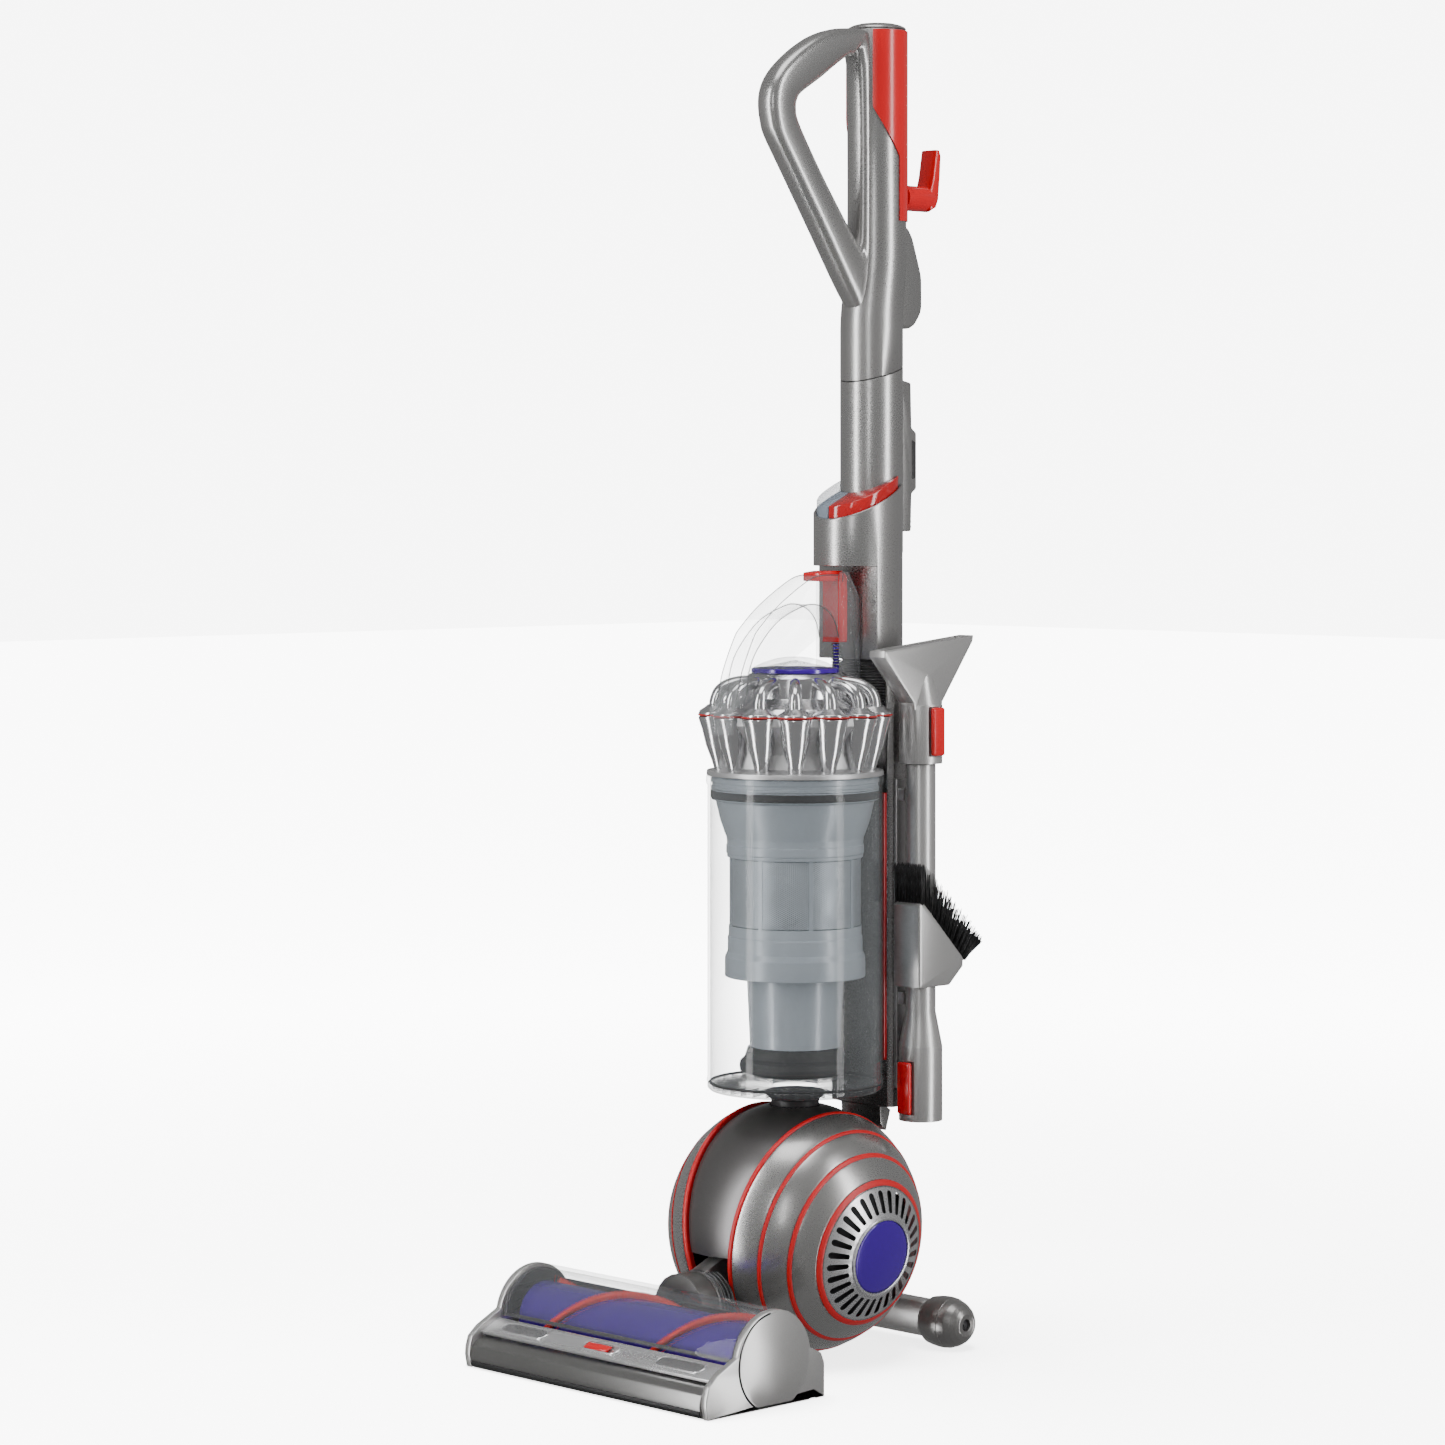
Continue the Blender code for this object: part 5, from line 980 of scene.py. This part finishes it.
coil = [Vector((0.0042 * math.cos(a), 0.0472 + SHIFT.y + 0.0030 * math.sin(a), 0.5460 + 0.0190 * a / 50))
        for a in (0.35 * k for k in range(144))]
piece("trigger_spring", tube_along(bmesh.new(), coil, [0.0005] * len(coil), 6), "bin_release", steel)
stem = lathe(bmesh.new(), [(0.0, 0.5652), (0.0026, 0.5652), (0.0030, 0.5600), (0.0024, 0.5590),
                           (0.0024, 0.5450),
                           (0.0, 0.5445)], SHIFT + Vector((0.0, 0.0472, 0.0)), sides=32, closed=False)
piece("trigger_stem", stem, "bin_release", hub_purple)
dark_red = moulded("dark_red_rod", "red_plastic", (0.30, 0.006, 0.010), 0.35)
low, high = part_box("release_rod")
rod = extruded(bmesh.new(), placed([(low.y - SHIFT.y, low.z), (high.y - SHIFT.y, low.z),
                                    (high.y - SHIFT.y, high.z), (low.y - SHIFT.y, high.z)]), low.x, high.x)
piece("catch_rod", rod, "bin_release", dark_red, "release_rod")

# Spine, hose and tool rail: a stiff channel behind the bin that carries the ribbed stretch hose and the clip
# for the tools. The hose is wound from soft plastic on a wire, so its ribs are close and even.
refined("spine", "upright", nickel, 0.0009, turns=3)
refined("pedestal", "upright", charcoal, 0.0006)
refined("tool_holder", "upright", satin, 0.0005)
refined("cord_inlet", "upright", rubber, 0.0004)
hose_grey = moulded("hose_grey", "hose_plastic", (0.115, 0.115, 0.12), 0.48, 0.0, 0.0, 0.15, 900.0, 0.1)
hose_low, hose_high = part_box("hose")
HOSE_R, RIB_PITCH = 0.0252, 0.0024
rear_y, wand_y = hose_high.y - HOSE_R, hose_low.y + HOSE_R
hose = bmesh.new()
rings = []
steps = int((hose_high.z - hose_low.z) / RIB_PITCH * 4)
for i in range(steps + 1):
    z = hose_low.z + (hose_high.z - hose_low.z) * i / steps
    lean = min(max((z - 0.520) / 0.028, 0.0), 1.0)
    centre_y = rear_y + (wand_y - rear_y) * lean * lean * (3 - 2 * lean)
    radius = HOSE_R - 0.0006 * (1 - math.cos(math.pi * i / 2))
    rings.append([hose.verts.new((radius * math.cos(2 * math.pi * k / 40), centre_y
                                  + radius * math.sin(2 * math.pi * k / 40), z)) for k in range(40)])
skinned(hose, rings)
piece("stretch_hose", hose, "upright", hose_grey, "hose", sharp=60)

# Upper housing: a rounded tower whose sloping shoulders carry two crescent buttons, a red one for the power
# and a clear blue one for the brush, pressed into a well round the wand.
refined("upper_housing", "upright", nickel, 0.0009, turns=3)
red_lens = clear("red_lens", "red_plastic", (0.62, 0.010, 0.012), 0.80, 0.10, 0.2)
blue_lens = clear("blue_lens", "clear_plastic", (0.42, 0.50, 0.60), 0.45, 0.08, 0.4)
refined("power_button", "power_button", red_lens, 0.0008, turns=3)
refined("brush_button", "brush_button", blue_lens, 0.0008, turns=3)

# Wand and handle: a straight tube with a latch rail at its back, then the handle tube with its D-shaped
# loop, all in metallic grey; a red shell wraps the grip and a grey cap closes the top.
WAND = SHIFT + Vector((0.0, 0.0886, 0.0))
GRIP_Y, GRIP_R, WAND_R = 0.0948 + SHIFT.y, 0.0241, 0.0257
SEAM_SLANT = 0.30
tube_low, tube_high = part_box("wand_tube")
grip_low, grip_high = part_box("handle")
tube = lathe(bmesh.new(), [(WAND_R, tube_high.z), (WAND_R, tube_low.z), (WAND_R - 0.0022, tube_low.z),
                           (WAND_R - 0.0022, tube_high.z)], WAND, sides=144)
back = WAND.y + WAND_R
rail = [(back - 0.0010, 0.7800), (back + 0.0140, 0.7770), (back + 0.0150, 0.7400), (back + 0.0205, 0.7360),
        (back + 0.0205, 0.6900), (back + 0.0150, 0.6860), (back + 0.0140, 0.6550), (back - 0.0010, 0.6550)]
for corner in tube.verts:                       # the joint between the two tubes is cut on a slant
    if corner.co.z > tube_high.z - 0.0030:
        corner.co.z += SEAM_SLANT * (corner.co.y - WAND.y)
extruded(tube, rail, -0.0070, 0.0070, 0.0015, 0.0010)
for i in range(6):
    z = 0.6580 + 0.0042 * i
    extruded(tube, [(back + 0.0130, z), (back + 0.0152, z), (back + 0.0152, z + 0.0018),
                    (back + 0.0130, z + 0.0018)], -0.0060, 0.0060, 0.0004, 0.0003)
piece("lower_wand", tube, "wand", nickel, "wand_tube")
insert = extruded(bmesh.new(), [(back + 0.0150, 0.7300), (back + 0.0196, 0.7280), (back + 0.0196, 0.6990),
                                (back + 0.0150, 0.6980)], -0.0076, 0.0076, 0.0010, 0.0006)
piece("rail_latch", insert, "wand", charcoal)

handle = bmesh.new()
rings = []
for z, centre, radius in ((grip_low.z, WAND.y, WAND_R - 0.0006), (grip_low.z + 0.0006, WAND.y, WAND_R),
                          (0.8200, WAND.y, WAND_R), (0.8300, WAND.y + 0.0003, WAND_R - 0.0001),
                          (0.8400, WAND.y + 0.0012, WAND_R - 0.0003), (0.8520, WAND.y + 0.0028, 0.0250),
                          (0.8640, GRIP_Y - 0.0017, 0.0246), (0.8760, GRIP_Y - 0.0004, 0.0242),
                          (0.8880, GRIP_Y, GRIP_R), (1.0634, GRIP_Y, GRIP_R),
                          (grip_high.z, GRIP_Y, GRIP_R - 0.0006)):
    rings.append([handle.verts.new((radius * math.cos(2 * math.pi * k / 128), centre
                                    + radius * math.sin(2 * math.pi * k / 128), z)) for k in range(128)])
skinned(handle, rings)
for corner in handle.verts:
    if corner.co.z < grip_low.z + 0.0010:
        corner.co.z += SEAM_SLANT * (corner.co.y - WAND.y)
outer = placed(flowing([(0.0840, 1.0640), (0.0620, 1.0636), (0.0400, 1.0610), (0.0200, 1.0545),
                        (0.0030, 1.0455), (-0.0110, 1.0360), (-0.0220, 1.0265), (-0.0300, 1.0165),
                        (-0.0345, 1.0060), (-0.0355, 0.9950), (-0.0335, 0.9830), (-0.0290, 0.9710),
                        (-0.0090, 0.9420), (0.0200, 0.9000), (0.0540, 0.8500), (0.0700, 0.8300)], 6)
               + [(0.0900, 0.8300), (0.0900, 1.0640)])
inner = placed(flowing([(0.0660, 1.0340), (0.0570, 1.0395), (0.0480, 1.0365), (0.0250, 1.0210),
                        (0.0020, 1.0070), (-0.0040, 1.0010), (-0.0055, 0.9930), (-0.0020, 0.9820),
                        (0.0210, 0.9470), (0.0450, 0.9150), (0.0610, 0.8945), (0.0672, 0.8975)],
                       6, closed=True))
LOOP_EYE = Vector((0.0350 + SHIFT.y, 0.9850))


def reach_to(outline, direction):
    """How far an outline lies from the loop's eye in a direction."""
    best = 0.0
    for a, b in zip(outline, outline[1:] + outline[:1]):
        start, run = Vector(a) - LOOP_EYE, Vector(b) - Vector(a)
        cross = direction.x * run.y - direction.y * run.x
        if abs(cross) < 1e-12:
            continue
        share = (start.x * direction.y - start.y * direction.x) / cross
        distance = (start.x * run.y - start.y * run.x) / cross
        if -1e-9 <= share <= 1 + 1e-9 and distance > 0:
            best = max(best, distance)
    return best


LOOP_HALF = 0.0118
rings = []
for step in range(240):
    angle = 2 * math.pi * step / 240
    direction = Vector((math.cos(angle), math.sin(angle)))
    far, near = reach_to(outer, direction), reach_to(inner, direction)
    ring = []
    for k in range(20):
        c, s = math.cos(2 * math.pi * k / 20), math.sin(2 * math.pi * k / 20)
        swell = math.copysign(abs(c) ** 0.62, c)
        spot = LOOP_EYE + direction * ((far + near) / 2 + (far - near) / 2 * swell)
        ring.append(handle.verts.new((LOOP_HALF * math.copysign(abs(s) ** 0.62, s), spot.x, spot.y)))
    rings.append(ring)
skinned(handle, rings + rings[:1], capped=False)
fairing = placed([(0.0950, 0.9050), (0.1170, 0.9050), (0.1235, 0.8960), (0.1345, 0.8640), (0.1345, 0.8350),
                  (0.1240, 0.8210), (0.0950, 0.8200)])
extruded(handle, fairing, -0.0150, 0.0150, 0.0060, 0.0040)
piece("loop_handle", handle, "wand", nickel, "handle", sharp=50)
piece("top_cap", lathe(bmesh.new(), [(0.0, 1.0700), (0.0080, 1.0698), (0.0150, 1.0691), (0.0200, 1.0678),
                                     (0.0232, 1.0662), (GRIP_R, 1.0645), (0.0, 1.0645)],
                       Vector((0.0, GRIP_Y, 0.0)), sides=128, closed=False), "wand", nickel, "wand_cap")
SHELL_OUT = GRIP_R + 0.0012
wrap = bmesh.new()
rows = []
for i in range(81):
    z = 0.9080 + (1.0630 - 0.9080) * i / 80
    share = min(max((z - 0.9600) / 0.0400, 0.0), 1.0)
    half = math.radians(88 + 56 * share)
    rows.append([wrap.verts.new((SHELL_OUT * math.sin(half * (k / 24 - 1)), GRIP_Y + SHELL_OUT
                                 * math.cos(half * (k / 24 - 1)), z)) for k in range(49)])
for low_row, high_row in zip(rows, rows[1:]):
    for a, b, c, d in zip(low_row, low_row[1:], high_row[1:], high_row):
        wrap.faces.new((a, b, c, d))
bmesh.ops.recalc_face_normals(wrap, faces=wrap.faces)
if sum(f.normal.dot(f.calc_center_median() - Vector((0, GRIP_Y, f.calc_center_median().z)))
       for f in wrap.faces) < 0:
    bmesh.ops.reverse_faces(wrap, faces=wrap.faces)
bmesh.ops.solidify(wrap, geom=wrap.faces, thickness=0.0009)
piece("red_grip", wrap, "wand", red_gloss, "grip_shell")
refined("cord_hook", "cord_hook", red_gloss, 0.0010, turns=3)
hook_joint = joint_of("cord_hook_turn")
hook_pin = lathe(bmesh.new(), [(0.0, -0.0060), (0.0030, -0.0060), (0.0030, 0.0060), (0.0, 0.0060)],
                 hook_joint["pos_m"], hook_joint["axis"], 32, closed=False)
piece("hook_pin", hook_pin, "wand", charcoal)

# Tools: a wide stair tool over a combination nozzle with a brush that slides up its tube, each held by a
# sprung red button. The brush carries stiff black tufts cut on a slant.
tool_low, tool_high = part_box("combi_nozzle")
TOOL = Vector(((tool_low.x + tool_high.x) / 2, (tool_low.y + tool_high.y) / 2, 0.0))
refined("stair_tool", "stair_tool", satin, 0.0009, turns=3)
refined("stair_button", "stair_button", red_gloss, 0.0006, turns=3)
refined("combi_button", "combi_button", red_gloss, 0.0006, turns=3)
refined("combi_nozzle", "combi_tool", satin, 0.0008, turns=3)
refined("tool_brush", "tool_brush", satin, 0.0009, turns=3)
bristle_black = moulded("bristle_black", "black_rubber", (0.010, 0.010, 0.011), 0.42, 0.0, 0.0, 0.3, 2500.0,
                        0.1)
roots = []
foot_line = flowing([(-0.0140, 0.3575), (-0.0110, 0.3578), (0.0120, 0.3350), (0.0335, 0.3130),
                     (0.0345, 0.3120)], 6)
tip_line = flowing([(-0.0150, 0.3850), (-0.0110, 0.3890), (0.0200, 0.3620), (0.0520, 0.3320),
                    (0.0560, 0.3230)], 6)
for i, (foot, tip) in enumerate(zip(foot_line, tip_line)):
    for k in range(9):
        x = TOOL.x + 0.0010 + (k - 4) * 0.0034
        for bunch in range(9):
            aside = 0.0009 * math.sin(13 * i + 7 * k + 2.4 * bunch)
            ahead = 0.0009 * math.cos(11 * i + 5 * k + 2.1 * bunch)
            start = Vector((x + aside, foot[0] + TOOL.y + ahead, foot[1] - 0.002))
            end = Vector((x + 1.5 * aside, tip[0] + TOOL.y + 1.6 * ahead, tip[1]))
            roots.append((start, end - start))
for row in range(len(foot_line)):
    some = roots[row * 81:(row + 1) * 81]
    tufted(f"black_tufts_{row + 1}", some, some[0][1].length, 0.00042, 0.10, "tool_brush", bristle_black,
           *(("brush_bristles",) if row == 0 else ()))
